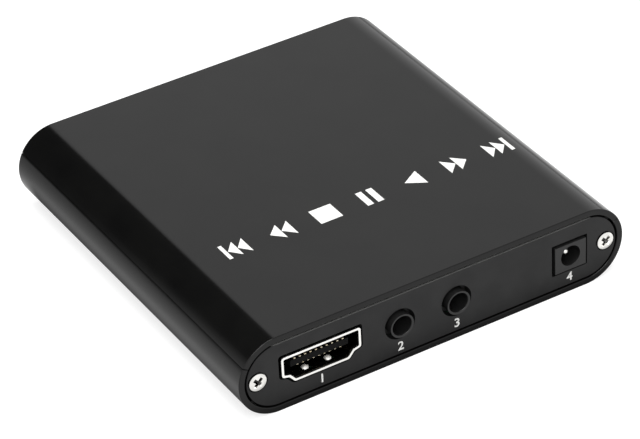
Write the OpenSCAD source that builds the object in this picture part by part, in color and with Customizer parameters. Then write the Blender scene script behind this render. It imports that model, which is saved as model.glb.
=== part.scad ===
// Compact media player: a two-part extruded housing closed by two end plates, round a circuit board.
// It rests on z = 0 with its origin under its middle. Rear sockets face +Y, front sockets face -Y.

/* [Housing] */
// Width over the rounded sides
body_w = 74.2; // [72:0.2:84]
// Height of the housing
body_h = 14.6; // [14.4:0.2:17]
// Length from the front end to the rear end
body_d = 75.6; // [75:0.2:90]
// Wall of the extruded shells
shell_wall = 1.1; // [0.9:0.1:1.3]
// Angle of the side seam above mid-height
seam_angle = 30; // [28:1:32]
// Width of the seam line between the two shells
seam_gap = 0.1; // [0.05:0.05:0.2]
// How far the lower shell's ledge reaches in under the seam
ledge_in = 0.6; // [0.5:0.1:0.8]
// Height of that ledge
ledge_h = 0.7; // [0.5:0.1:0.8]
// Thickness of the upper shell's hooked lip
hook_t = 1; // [0.8:0.1:1.2]
// Running clearance between lip and ledge
hook_clear = 0.12; // [0.1:0.02:0.2]
// Clearance of a piece that is moulded or pressed into its seat
fit_clear = 0.05; // [0.02:0.01:0.08]

/* [End plates] */
// Thickness of each end plate
plate_t = 1.5; // [1.2:0.1:2]
// Gap between a plate's edge and the shells round it
plate_gap = 0.35; // [0.2:0.05:0.45]
// Depth of a plate's face below the shells' ends
plate_recess = 0.1; // [0:0.05:0.4]
// Clearance round a socket in its cut-out
cutout_clear = 0.4; // [0.3:0.05:0.5]

/* [Plate screws] */
// Screw axis to the housing's outermost side
screw_inset = 3.5; // [3.4:0.1:3.8]
// Diameter over the screw thread
screw_d = 2.2; // [2:0.1:2.4]
// Length of the screw below its head's top
screw_l = 8; // [6:0.5:12]
// Diameter of the countersunk head
screw_head_d = 3.15; // [3:0.05:3.3]
// Gap round the head in its countersink
head_gap = 0.25; // [0.1:0.05:0.3]
// Depth of the head's cone
screw_cone_h = 0.8; // [0.6:0.1:1]
// How deep in the plate the cone starts
screw_sink = 0.3; // [0.1:0.05:0.4]
// How far the head's rim stands out of the plate
screw_rim_h = 0.12; // [0.05:0.01:0.2]
// Length and width of the cross recess's arms
cross_l = 2; // [1.8:0.1:2.2]
cross_w = 0.55; // [0.45:0.05:0.65]
// Depth of the cross recess
cross_depth = 0.7; // [0.5:0.05:0.8]
// Radial clearance of a screw in its hole
screw_clear = 0.1; // [0.05:0.01:0.15]
// Radius of the screw boss's nose
boss_r = 1.9; // [1.8:0.1:2]

/* [Circuit board] */
// Thickness of the board
board_t = 1.6; // [1.2:0.1:1.8]
// Free height under the board
board_lift = 1.9; // [1.7:0.1:2.1]
// Clearance of the board in its grooves
groove_clear = 0.1; // [0.05:0.05:0.2]
// Gap from the board's side edge to the shell
board_edge_gap = 0.25; // [0.2:0.05:0.5]
// Gap from the board's end to each end plate
board_end_gap = 0.3; // [0.2:0.1:0.6]
// Length of the solder legs under the board
leg_out = 0.7; // [0.5:0.1:0.9]
// Clearance of a solder leg in its hole
leg_clear = 0.12; // [0.08:0.02:0.2]
// Thickness of the insulating film on the floor
film_t = 0.25; // [0.15:0.05:0.4]
// Margin from the film's edge to the flat floor's edge
film_margin = 2; // [1:0.5:4]

/* [Video socket] */
// Middle of the digital video socket to the housing's nearer side
hdmi_inset = 15.25; // [14.8:0.05:16.2]
// Width of its opening
hdmi_open_w = 14; // [13.6:0.1:14.4]
// Height of its opening
hdmi_open_h = 4.55; // [4.45:0.05:4.7]
// Width of the opening's narrow floor
hdmi_floor_w = 9.8; // [9.4:0.1:10.2]
// Height of the opening's upright sides
hdmi_side_h = 3.1; // [2.9:0.1:3.2]
// Width and drop of the step under each side
hdmi_step_w = 1.15; // [1:0.05:1.3]
hdmi_step_h = 0.3; // [0.2:0.05:0.4]
// Sheet thickness of the socket's shell
hdmi_sheet = 0.4; // [0.3:0.05:0.45]
// Depth of the shell
hdmi_d = 11; // [10.5:0.1:12]
// Depth of the free space inside
hdmi_cavity = 8.2; // [7.8:0.1:8.6]
// How far the shell's mouth stands out of the plate
hdmi_proud = 0.2; // [0:0.05:0.5]
// Gap between the shell and the board
hdmi_lift = 0.15; // [0.1:0.05:0.25]
// Width, thickness and setback of the tongue
hdmi_tongue_w = 10.8; // [10.4:0.1:11.2]
hdmi_tongue_t = 1.2; // [1:0.1:1.4]
hdmi_tongue_back = 0.7; // [0.5:0.1:1.2]
// Free height above the tongue
hdmi_tongue_gap = 1.25; // [1.1:0.05:1.4]
// Contacts in the upper row; the lower row has one fewer
hdmi_contacts_n = 10; // [8:1:10]
// Contact pitch within a row
hdmi_pitch = 1; // [0.9:0.05:1.05]
// Width of each spring finger in the shell's floor, and its length
finger_w = 1.5; // [1.3:0.1:1.7]
finger_l = 4.4; // [4:0.1:5]
// Sideways place of the two floor fingers from the middle
finger_x = 2.15; // [1.9:0.05:2.4]
// Setback of the fingers' contact bumps from the mouth
finger_bump_back = 1.9; // [1.7:0.1:2.2]

/* [Round jacks] */
// Sideways places of the composite and the component video jack
av_x = 6.9; // [6.4:0.1:7.2]
yuv_x = -4; // [-4.4:0.1:-3.6]
// Bore, nozzle and plate hole diameters
jack_bore_d = 3.6; // [3.55:0.05:3.7]
jack_nozzle_d = 4.4; // [4.2:0.1:4.8]
jack_hole_d = 5.7; // [5.4:0.1:6]
// How far the nozzle stands out of the plate
jack_proud = 0.7; // [0.3:0.1:0.9]
// Bore axis above the board
jack_axis_h = 2.75; // [2.7:0.05:2.9]
// Width, height and length of the jack's body behind the plate
jack_w = 6.2; // [6:0.1:6.6]
jack_h = 5.6; // [5.5:0.1:6]
jack_l = 12.6; // [12.2:0.1:13]
// Wall behind the bore
jack_back_wall = 0.6; // [0.5:0.1:0.8]
// Gap between a socket's body and the plate in front of it
body_gap = 0.2; // [0.1:0.05:0.4]

/* [Power jack] */
// Middle of the power jack to the housing's nearer side
dc_inset = 10.7; // [10.2:0.1:11.2]
// Width, height and length of its body
dc_w = 6.2; // [6:0.1:6.4]
dc_h = 5.2; // [5.1:0.1:5.5]
dc_l = 10.5; // [10:0.1:11.5]
// How far its face stands out of the plate
dc_proud = 0.3; // [0.1:0.05:0.5]
// Bore diameter and depth, and its axis above the board
dc_bore_d = 3.8; // [3.6:0.05:3.9]
dc_bore_l = 8.6; // [8.2:0.1:9]
dc_axis_h = 2.75; // [2.65:0.05:2.85]
// Centre pin diameter and the setback of its tip
dc_pin_d = 1.3; // [1.2:0.05:1.4]
dc_pin_back = 1.15; // [1:0.05:1.4]

/* [Memory stick socket] */
// Sideways place of the socket for memory sticks and drives
usb_x = -21; // [-21.4:0.1:-20.6]
// Width and height of its opening
usb_open_w = 12.5; // [12.4:0.1:12.8]
usb_open_h = 5.12; // [5.1:0.02:5.2]
// Sheet thickness and depth of its shell
usb_sheet = 0.3; // [0.25:0.05:0.35]
usb_d = 14.2; // [13.6:0.1:15]
// Depth of the free space inside
usb_cavity = 10.4; // [10:0.1:10.8]
// How far the shell's mouth stands out of the plate
usb_proud = 0.3; // [0:0.1:0.6]
// Width and thickness of the tongue, and the free height above it
usb_tongue_w = 11.1; // [10.8:0.1:11.4]
usb_tongue_t = 1.84; // [1.8:0.02:1.9]
usb_tongue_gap = 0.72; // [0.66:0.02:0.8]
// Setback of the tongue's tip from the mouth
usb_tongue_back = 1.2; // [1:0.1:1.6]

/* [Memory card socket] */
// Sideways place of the card's middle
card_x = 5; // [4.8:0.1:5.2]
// Width, length and thickness of the card
card_w = 24; // [23.9:0.1:24.1]
card_l = 32; // [31.8:0.1:32.2]
card_t = 2.1; // [2:0.05:2.2]
// Side clearance and height clearance of the card's channel
card_side_clear = 0.15; // [0.1:0.05:0.2]
card_top_clear = 0.3; // [0.2:0.05:0.4]
// How far a seated card stands out of the front plate
card_proud = 2.4; // [2:0.1:3]
// Floor and outer wall of the socket's plastic base
socket_floor = 0.6; // [0.5:0.1:0.7]
socket_wall = 1.2; // [1:0.1:1.4]
// Width of the bay beside the card that holds the ejector
bay_w = 2.1; // [2:0.05:2.2]
// Thickness of the rear wall
socket_back = 1.2; // [1:0.1:1.4]
// Free length behind a seated card's edge
socket_end_gap = 4.4; // [4.2:0.1:4.8]
// Sheet thickness of the steel cover
cover_t = 0.25; // [0.2:0.05:0.3]
// Push stroke of the ejector slider
slider_stroke = 3; // [2.6:0.1:3.2]
// Width and length of the slider, and its running clearance
slider_w = 1.7; // [1.6:0.05:1.8]
slider_l = 11; // [10.6:0.1:11.6]
slider_clear = 0.15; // [0.1:0.05:0.2]
// How far the slider's arm reaches in behind the card
slider_arm = 2; // [1.8:0.1:2.4]
// Length of the arm along the stroke
slider_arm_l = 1.4; // [1.2:0.1:1.6]
// Wire and outer diameter of the ejector spring
spring_wire = 0.2; // [0.16:0.02:0.24]
spring_d = 1.4; // [1.3:0.05:1.5]
// Turns of the ejector spring
spring_turns = 9; // [7:1:10]
// Contacts of the card socket
card_contacts_n = 9; // [7:1:9]
// Pitch of the contacts
card_pitch = 2.5; // [2.4:0.05:2.5]

/* [Receiver and lamp] */
// Gap between the infrared receiver's block and the screw boss beside it
ir_gap = 0.4; // [0.3:0.1:0.6]
// Width, height and thickness of the receiver's block
ir_w = 6.2; // [6:0.1:6.4]
ir_h = 6.6; // [6.4:0.1:6.8]
ir_t = 2.8; // [2.6:0.1:3.2]
// Radius of the receiver's lens
ir_lens_r = 2; // [1.8:0.1:2.2]
// Receiver axis above the board
ir_axis_h = 4; // [3.9:0.1:4.2]
// Diameter of the window and of its flange behind the plate
window_d = 5; // [4.8:0.1:5.4]
window_flange_d = 6.2; // [6:0.1:6.4]
window_flange_t = 0.6; // [0.5:0.1:0.8]
// Diameter and length of the lamp's body, and its axis above the board
led_d = 2.9; // [2.8:0.1:3]
led_l = 4.8; // [4.6:0.1:5.2]
led_axis_h = 3.4; // [3.3:0.1:3.8]
// Width and thickness of the flange round the lamp's foot
led_flange = 0.35; // [0.3:0.05:0.4]
led_flange_t = 0.9; // [0.7:0.1:1.1]
// How far the lamp's dome stands out of the plate
led_proud = 0.7; // [0.3:0.1:1]

/* [Components] */
// Least gap between neighbours on the board
chip_space = 0.6; // [0.5:0.1:0.8]
// Sideways place of the media processor
cpu_x = -4; // [-4.4:0.1:-3.6]
// Side and height of the media processor
cpu_w = 15; // [14:0.5:16]
cpu_h = 1.4; // [1.2:0.1:1.6]
// Thickness of the heat-conducting pad
pad_t = 0.5; // [0.3:0.1:0.8]
// Margin from the pad's edge to the processor's edge
pad_margin = 1; // [0.8:0.1:1.4]
// Base thickness and whole height of the heat sink
sink_base = 1.2; // [1:0.1:1.6]
sink_h = 4.6; // [4:0.1:4.8]
// Fins of the heat sink and their thickness
sink_fins = 6; // [5:1:7]
fin_t = 0.9; // [0.7:0.1:1]
// Width, length and height of each memory chip
ram_w = 8; // [7.5:0.5:8.5]
ram_l = 11; // [10:0.5:11.5]
ram_h = 1.1; // [1:0.1:1.3]
// Strip between processor and memory for the ceramic capacitors, and the gap between the memory chips
ram_strip = 5.5; // [5.2:0.1:5.8]
ram_space = 2; // [1.6:0.1:2.4]
// Side and height of the flash memory
flash_w = 5.2; // [5:0.1:5.6]
flash_h = 1.8; // [1.6:0.1:2]
// Width, length and height of the voltage regulator
reg_w = 3.6; // [3.4:0.1:3.8]
reg_l = 6.5; // [6.2:0.1:6.8]
reg_h = 1.7; // [1.5:0.1:1.8]
// Diameter and height of each electrolytic capacitor
cap_d = 5; // [4.5:0.1:5.4]
cap_h = 5.4; // [5:0.1:5.6]
// Margin and height of the capacitor's square foot
cap_margin = 0.15; // [0.1:0.05:0.2]
cap_foot_h = 0.8; // [0.6:0.1:1]
// Side and height of each power inductor
coil_w = 5; // [4.6:0.2:5.4]
coil_h = 2.4; // [2:0.1:2.8]
// Thickness of the inductor's two flanges, and diameter of its core
coil_flange = 0.45; // [0.4:0.05:0.5]
coil_core_d = 3; // [2.6:0.1:3.4]
// Length, width and height of the crystal's can
crystal_l = 10.5; // [10:0.1:11]
crystal_w = 4; // [3.8:0.1:4.2]
crystal_h = 3.4; // [3:0.1:3.6]
// Width and thickness of the rim round the can's foot
crystal_rim = 0.35; // [0.3:0.05:0.4]
crystal_rim_t = 0.4; // [0.3:0.1:0.5]
// Length, width, height and pitch of the ceramic capacitors
mlcc_l = 1.6; // [1.5:0.1:1.7]
mlcc_w = 0.8; // [0.7:0.1:0.9]
mlcc_h = 0.8; // [0.7:0.1:0.9]
mlcc_pitch = 2.4; // [2.2:0.1:2.6]

/* [Hidden] */
$fn = 64;

// Housing
mid_z = body_h / 2;
outer_r = body_h / 2;
inner_r = outer_r - shell_wall;
round_x = body_w / 2 - outer_r;
seam_z = mid_z + outer_r * sin(seam_angle);
end_y = body_d / 2;
plate_face = end_y - plate_recess;
plate_seat = plate_face - plate_t;
plate_r = inner_r - plate_gap;
screw_x = body_w / 2 - screw_inset;
hole_r = screw_d / 2 + screw_clear;
boss_hole_r = screw_d / 2 + screw_clear / 2;
overlap = shell_wall / 2;
cut = 1;
corner_steps = 4;

// Board
board_z = shell_wall + board_lift;
board_top = board_z + board_t;
board_half_w = wall_x(board_z) - board_edge_gap;
board_end = plate_seat - board_end_gap;
lead_t = 0.15;

// Sockets and components that keep their place beside a housing's side or between two neighbours
nose_x = screw_x - boss_r;
hdmi_x = body_w / 2 - hdmi_inset;
dc_x = dc_inset - body_w / 2;
ir_x = nose_x - ir_gap - ir_w / 2;

// Inner face of the shells at height z
function wall_x(z) = round_x + sqrt(inner_r * inner_r - (z - mid_z) * (z - mid_z));

// Shell joint: a ledge on the lower shell, and a hooked lip on the upper one that slides under it
ledge_x = wall_x(seam_z) - ledge_in;
lip_x = ledge_x - hook_clear;
hook_top = seam_z - seam_gap / 2 - ledge_h - hook_clear;
hook_h = ledge_h;
hook_reach = ledge_in - hook_clear;

// Outline helpers: a corner's outward shift, an outline grown by d, one with round corners,
// and a strip of thickness t along a path
function unit(v) = v / norm(v);
function right_of(v) = [v[1], -v[0]];
function miter(a, b, d) = (right_of(a) + right_of(b)) * d / (1 + a * b);
function before(p, i) = unit(p[i] - p[(i + len(p) - 1) % len(p)]);
function after(p, i) = unit(p[(i + 1) % len(p)] - p[i]);
function grown(p, d) = [for (i = [0 : len(p) - 1]) p[i] + miter(before(p, i), after(p, i), d)];
function spun(v, w) = [v[0] * cos(w) - v[1] * sin(w), v[0] * sin(w) + v[1] * cos(w)];
function arc_at(p, a, b, r, n) =
    let (side = a[0] * b[1] - a[1] * b[0] > 0 ? 1 : -1)
    let (bend = acos(a * b))
    let (spoke = side * r * right_of(a))
    let (centre = p - a * r * tan(bend / 2) - spoke)
    [for (k = [0 : n]) centre + spun(spoke, side * bend * k / n)];
function rounded(p, r, n) =
    [for (i = [0 : len(p) - 1]) each arc_at(p[i], before(p, i), after(p, i), r, n)];
function path_side(p, i, d) =
    let (last = len(p) - 1)
    let (a = unit(p[max(i, 1)] - p[max(i, 1) - 1]))
    let (b = unit(p[min(i, last - 1) + 1] - p[min(i, last - 1)]))
    p[i] + miter(a, b, d);
function strip(p, t) = concat(
    [for (i = [0 : len(p) - 1]) path_side(p, i, t / 2)],
    [for (i = [len(p) - 1 : -1 : 0]) path_side(p, i, -t / 2)]);
function socket_outline(p, d, r) = rounded(grown(p, d), r, corner_steps);
function box_outline(w, h) = [[-w / 2, 0], [w / 2, 0], [w / 2, h], [-w / 2, h]];

// Solid of an XZ outline between two places along Y
module along_y(y0, y1) {
    translate([0, y1, 0])
        rotate([90, 0, 0])
            linear_extrude(y1 - y0)
                children();
}

// Solid of a YZ outline of width w, centred across X
module across_x(w) {
    rotate([90, 0, 90])
        linear_extrude(w, center = true)
            children();
}

// Cylinder along Y between two places
module rod_y(d, y0, y1) {
    translate([0, y1, 0])
        rotate([90, 0, 0])
            cylinder(d = d, h = y1 - y0);
}

// The housing's cross-section at radius r: straight top and bottom, half-round sides
module stadium(r) {
    translate([-round_x, mid_z - r])
        square([2 * round_x, 2 * r]);
    for (s = [-1, 1])
        translate([s * round_x, mid_z])
            circle(r = r);
}

// Half of the cross-section's field, below or above height z
module below(z) {
    translate([-body_w, -body_h])
        square([2 * body_w, body_h + z]);
}

module above(z) {
    translate([-body_w, z])
        square([2 * body_w, 2 * body_h]);
}

// Both sides of something drawn at +X
module both_sides() {
    children();
    mirror([1, 0, 0])
        children();
}

// Places with the mouth at the plate's outer face and z = 0 on the board
module at_rear(x, out = 0) {
    translate([x, plate_face + out, board_top])
        children();
}

module at_front(x, out = 0) {
    translate([x, -plate_face - out, board_top])
        mirror([0, 1, 0])
            children();
}

// Solder legs at a list of places, or their holes when grow is given
module legs(at, w, l, top, grow = 0) {
    for (p = at)
        translate([p[0] - w / 2 - grow, p[1] - l / 2 - grow, -board_t - leg_out - grow])
            cube([w + 2 * grow, l + 2 * grow, board_t + leg_out + top + grow]);
}

// ---- Housing ----

module lower_rails() {
    translate([nose_x, overlap])
        square([body_w, board_z - groove_clear - overlap]);
    translate([nose_x, board_top + groove_clear])
        square([body_w, mid_z - board_top - groove_clear]);
    translate([screw_x, mid_z])
        circle(r = boss_r);
    translate([screw_x, mid_z])
        square([body_w, boss_r]);
    translate([ledge_x, seam_z - seam_gap / 2 - ledge_h])
        square([body_w, ledge_h]);
}

module lower_shell() {
    color([0.1, 0.1, 0.1])
        difference() {
            union() {
                along_y(-end_y, end_y)
                    difference() {
                        intersection() {
                            stadium(outer_r);
                            below(seam_z - seam_gap / 2);
                        }
                        stadium(inner_r);
                    }
                along_y(-plate_seat, plate_seat)
                    intersection() {
                        both_sides()
                            lower_rails();
                        stadium(outer_r - overlap);
                    }
            }
            both_sides()
                translate([screw_x, 0, mid_z])
                    rod_y(2 * boss_hole_r, -end_y, end_y);
        }
}

module upper_hook() {
    translate([lip_x - hook_t, hook_top - hook_h])
        square([hook_t, body_h]);
    translate([lip_x - hook_t, hook_top - hook_h])
        square([hook_t + hook_reach, hook_h]);
}

module upper_shell() {
    color([0.1, 0.1, 0.1]) {
        along_y(-end_y, end_y)
            difference() {
                intersection() {
                    stadium(outer_r);
                    above(seam_z + seam_gap / 2);
                }
                stadium(inner_r);
            }
        along_y(-plate_seat, plate_seat)
            intersection() {
                both_sides()
                    upper_hook();
                stadium(outer_r - overlap);
            }
    }
}

// ---- End plates ----

// Cone under a plate screw's head, and the seat it rests in
module head_cone() {
    translate([0, -screw_sink, 0])
        rotate([90, 0, 0])
            cylinder(d1 = screw_head_d, d2 = screw_d, h = screw_cone_h);
}

// Countersunk hole for a plate screw, its mouth at y = 0
module countersink() {
    rod_y(2 * hole_r, -plate_t - cut, cut);
    head_cone();
    rod_y(screw_head_d + 2 * head_gap, -screw_sink, cut);
}

module plate_blank() {
    difference() {
        along_y(plate_seat, plate_face)
            stadium(plate_r);
        both_sides()
            translate([screw_x, plate_face, mid_z])
                countersink();
    }
}

module rear_plate() {
    color([0.13, 0.13, 0.13])
        difference() {
            plate_blank();
            at_rear(hdmi_x)
                along_y(-plate_t - cut, cut)
                    polygon(socket_outline(hdmi_outline(), hdmi_sheet + cutout_clear, hdmi_round));
            for (x = [av_x, yuv_x])
                at_rear(x)
                    translate([0, 0, jack_axis_h])
                        rod_y(jack_hole_d, -plate_t - cut, cut);
            at_rear(dc_x)
                along_y(-plate_t - cut, cut)
                    polygon(grown(box_outline(dc_w, dc_h), cutout_clear));
        }
}

module front_plate() {
    color([0.13, 0.13, 0.13])
        difference() {
            mirror([0, 1, 0])
                plate_blank();
            at_front(usb_x)
                along_y(-plate_t - cut, cut)
                    polygon(socket_outline(usb_outline(), usb_sheet + cutout_clear, usb_round));
            at_front(card_x)
                along_y(-plate_t - cut, cut)
                    polygon(grown(card_slot_outline(), cutout_clear));
            at_front(ir_x)
                translate([0, 0, ir_axis_h])
                    rod_y(window_d + 2 * fit_clear, -plate_t - cut, cut);
            at_front(led_x)
                translate([0, 0, led_axis_h])
                    rod_y(led_d + 2 * leg_clear, -plate_t - cut, cut);
        }
}

// A countersunk cross-recess screw, the plate's face at y = 0
module plate_screw() {
    difference() {
        union() {
            rod_y(screw_d, -screw_l, -screw_sink - screw_cone_h / 2);
            head_cone();
            rod_y(screw_head_d, -screw_sink, screw_rim_h);
        }
        for (turn = [0, 90])
            rotate([0, 45 + turn, 0])
                translate([-cross_l / 2, screw_rim_h - cross_depth, -cross_w / 2])
                    cube([cross_l, cross_depth + cut, cross_w]);
    }
}

module rear_plate_screws() {
    color([0.85, 0.85, 0.83])
        both_sides()
            translate([screw_x, plate_face, mid_z])
                plate_screw();
}

module front_plate_screws() {
    color([0.85, 0.85, 0.83])
        mirror([0, 1, 0])
            both_sides()
                translate([screw_x, plate_face, mid_z])
                    plate_screw();
}

// ---- Board and film ----

module insulating_film() {
    half_w = min(round_x, nose_x) - film_margin;
    color([0.85, 0.82, 0.7])
        translate([-half_w, -board_end + film_margin, shell_wall])
            cube([2 * half_w, 2 * (board_end - film_margin), film_t]);
}

module main_board() {
    color([0.05, 0.3, 0.16])
        difference() {
            translate([-board_half_w, -board_end, board_z])
                cube([2 * board_half_w, 2 * board_end, board_t]);
            at_rear(hdmi_x, hdmi_proud)
                legs(hdmi_legs, hdmi_sheet, hdmi_leg_l, cut, leg_clear);
            for (x = [av_x, yuv_x])
                at_rear(x, jack_proud)
                    legs(jack_legs, jack_leg_t, jack_leg_l, cut, leg_clear);
            at_rear(dc_x, dc_proud)
                legs(dc_legs, jack_leg_t, jack_leg_l, cut, leg_clear);
            at_front(usb_x, usb_proud) {
                legs(usb_legs, usb_sheet, usb_leg_l, cut, leg_clear);
                legs(usb_tails, usb_contact_w, lead_t, cut, leg_clear);
            }
            at_front(ir_x)
                legs(ir_legs, wire_w, wire_w, cut, leg_clear);
            at_front(led_x)
                legs(led_legs, wire_w, wire_w, cut, leg_clear);
        }
}

// ---- Digital video socket, drawn with its mouth at y = 0 and z = 0 on the board ----

hdmi_round = 0.5;
hdmi_leg_l = 1.2;
hdmi_leg_y = [-3, -8.6];
hdmi_legs = [for (s = [-1, 1], y = hdmi_leg_y) [s * (hdmi_open_w + hdmi_sheet) / 2, y]];
hdmi_floor_z = hdmi_lift + hdmi_sheet;
hdmi_tongue_top = hdmi_floor_z + hdmi_open_h - hdmi_tongue_gap;
hdmi_contact_w = 0.35;
hdmi_tail_l = 1;
hdmi_contact_back = 0.1;
hdmi_row_drop = [0.6, 0.25];
slot_w = 0.25;

// Outline of the opening: wide at the top, stepped and slanted in to a narrow floor
function hdmi_outline() =
    let (half = hdmi_open_w / 2)
    let (z0 = hdmi_floor_z)
    let (z2 = z0 + hdmi_open_h - hdmi_side_h)
    let (right = [[hdmi_floor_w / 2, z0], [half - hdmi_step_w, z2 - hdmi_step_h], [half, z2],
        [half, z0 + hdmi_open_h]])
    concat(right, [for (i = [3 : -1 : 0]) [-right[i][0], right[i][1]]]);

// Three-sided slot that frees a spring finger, its tip towards the mouth
module finger_slot(h) {
    tip = finger_bump_back - finger_w / 2;
    translate([0, -tip - finger_l / 2, 0])
        difference() {
            cube([finger_w + 2 * slot_w, finger_l, h], center = true);
            translate([0, -slot_w, 0])
                cube([finger_w, finger_l, h + 2 * cut], center = true);
        }
}

module video_socket_shell() {
    bump_r = finger_w / 2;
    color([0.88, 0.87, 0.84])
        at_rear(hdmi_x, hdmi_proud) {
            difference() {
                along_y(-hdmi_d, 0)
                    polygon(socket_outline(hdmi_outline(), hdmi_sheet, hdmi_round));
                along_y(-hdmi_d - cut, cut)
                    polygon(socket_outline(hdmi_outline(), 0, hdmi_round / 2));
                for (s = [-1, 1]) {
                    translate([s * finger_x, 0, hdmi_lift])
                        finger_slot(3 * hdmi_sheet);
                    translate([s * 2 * finger_x, 0, hdmi_floor_z + hdmi_open_h])
                        finger_slot(3 * hdmi_sheet);
                }
            }
            legs(hdmi_legs, hdmi_sheet, hdmi_leg_l, hdmi_floor_z + hdmi_open_h / 2);
            for (s = [-1, 1])
                translate([s * finger_x, -finger_bump_back, hdmi_floor_z])
                    intersection() {
                        translate([0, 0, -hdmi_sheet])
                            sphere(r = bump_r, $fn = 32);
                        translate([0, 0, bump_r - hdmi_sheet / 2])
                            cube([2 * bump_r, 2 * bump_r, 2 * bump_r], center = true);
                    }
        }
}

// Contact strips of both rows, from the tongue's tip through the block and down to the board
module hdmi_contact_rows() {
    tail = hdmi_d + hdmi_tail_l;
    for (row = [0, 1]) {
        z = row == 0 ? hdmi_tongue_top + lead_t / 2 : hdmi_tongue_top - hdmi_tongue_t - lead_t / 2;
        drop = hdmi_d + hdmi_row_drop[row];
        count = hdmi_contacts_n - row;
        for (i = [0 : count - 1])
            translate([(i - (count - 1) / 2) * hdmi_pitch, 0, 0])
                across_x(hdmi_contact_w)
                    polygon(strip([[-hdmi_tongue_back - hdmi_contact_back, z], [-drop, z],
                        [-drop, lead_t / 2], [-tail, lead_t / 2]], lead_t));
    }
}

module video_socket_insulator() {
    color([0.04, 0.04, 0.04])
        at_rear(hdmi_x, hdmi_proud)
            difference() {
                union() {
                    along_y(-hdmi_d, -hdmi_cavity)
                        polygon(socket_outline(hdmi_outline(), -fit_clear, hdmi_round / 2));
                    translate([-hdmi_tongue_w / 2, -hdmi_cavity - cut, hdmi_tongue_top - hdmi_tongue_t])
                        cube([hdmi_tongue_w, hdmi_cavity + cut - hdmi_tongue_back, hdmi_tongue_t]);
                }
                hdmi_contact_rows();
            }
}

module video_socket_contacts() {
    color([0.85, 0.7, 0.35])
        at_rear(hdmi_x, hdmi_proud)
            hdmi_contact_rows();
}

// ---- Round jacks, drawn with the nozzle's mouth at y = 0 ----

jack_leg_t = 0.3;
jack_leg_l = 0.8;
jack_front = jack_proud + plate_t + body_gap;
jack_bore_l = jack_front + jack_l - jack_back_wall;
jack_back_y = plate_face + jack_proud - jack_front - jack_l;
spring_gap = 0.08;
spring_inset = 0.5;
jack_spring_l = 4.4;
jack_spring_h = 1.8;
jack_spring_bend = 2.9;
// Contact springs: side of the bore, and place of the spring's leg, from the front one to the rear one
jack_leg_front = jack_front + 5.6;
jack_leg_mid = jack_leg_front + jack_spring_l;
jack_leg_rear = jack_leg_front + jack_spring_l + 1.4;
jack_springs = [[-1, -jack_leg_front], [1, -jack_leg_mid], [-1, -jack_leg_rear]];
jack_flat_x = jack_w / 2 - spring_inset;
jack_legs = [for (s = jack_springs) [s[0] * jack_flat_x, s[1]]];

// Spring strip seen from above, flat at x = flat and bent in to touch a circle of radius r
module contact_spring(side, leg_y, flat, r) {
    bend = r + spring_gap + jack_leg_t / 2;
    scale_x = [for (p = [[flat, leg_y - jack_leg_l / 2], [flat, leg_y + jack_leg_l],
        [bend, leg_y + jack_spring_bend], [flat, leg_y + jack_spring_l]]) [side * p[0], p[1]]];
    linear_extrude(jack_spring_h, center = true)
        polygon(strip(scale_x, jack_leg_t));
}

// Pocket that lets a spring in from the body's side, open to the board under its leg
module spring_pocket(side, leg_y, axis_h, half_w) {
    x = side * half_w;
    l = jack_spring_l + jack_leg_l + 2 * spring_gap;
    translate([x, leg_y - jack_leg_l / 2 - spring_gap + l / 2, axis_h])
        cube([2 * half_w, l, jack_spring_h + 2 * spring_gap], center = true);
    translate([x, leg_y, axis_h / 2])
        cube([2 * (spring_inset + jack_leg_t / 2 + spring_gap), jack_leg_l + 2 * spring_gap, axis_h + cut],
            center = true);
}

module jack_body() {
    difference() {
        union() {
            translate([-jack_w / 2, -jack_front - jack_l, 0])
                cube([jack_w, jack_l, jack_h]);
            translate([0, 0, jack_axis_h])
                rod_y(jack_nozzle_d, -jack_front - cut, 0);
        }
        translate([0, 0, jack_axis_h])
            rod_y(jack_bore_d, -jack_bore_l, cut);
        for (s = jack_springs)
            spring_pocket(s[0], s[1], jack_axis_h, jack_w / 2);
    }
}

module jack_contacts() {
    for (s = jack_springs)
        translate([0, 0, jack_axis_h])
            contact_spring(s[0], s[1], jack_flat_x, jack_bore_d / 2);
    legs(jack_legs, jack_leg_t, jack_leg_l, jack_axis_h);
}

module av_jack_body() {
    color([0.05, 0.05, 0.05])
        at_rear(av_x, jack_proud)
            jack_body();
}

module av_jack_contacts() {
    color([0.8, 0.78, 0.72])
        at_rear(av_x, jack_proud)
            jack_contacts();
}

module component_jack_body() {
    color([0.05, 0.05, 0.05])
        at_rear(yuv_x, jack_proud)
            jack_body();
}

module component_jack_contacts() {
    color([0.8, 0.78, 0.72])
        at_rear(yuv_x, jack_proud)
            jack_contacts();
}

// ---- Power jack, drawn with its face at y = 0 ----

dc_flat_x = dc_w / 2 - spring_inset;
dc_spring_y = -6.6;
dc_rivet_d = 2.4;
dc_rivet_l = 0.4;
dc_strap_w = 1.6;
dc_legs = [[dc_flat_x, dc_spring_y], [0, -dc_l - jack_leg_t]];

module power_jack_body() {
    color([0.06, 0.06, 0.06])
        at_rear(dc_x, dc_proud)
            difference() {
                translate([-dc_w / 2, -dc_l, 0])
                    cube([dc_w, dc_l, dc_h]);
                translate([0, 0, dc_axis_h]) {
                    rod_y(dc_bore_d, -dc_bore_l, cut);
                    rod_y(dc_pin_d + 2 * fit_clear, -dc_l - cut, 0);
                }
                spring_pocket(1, dc_spring_y, dc_axis_h, dc_w / 2);
            }
}

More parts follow.
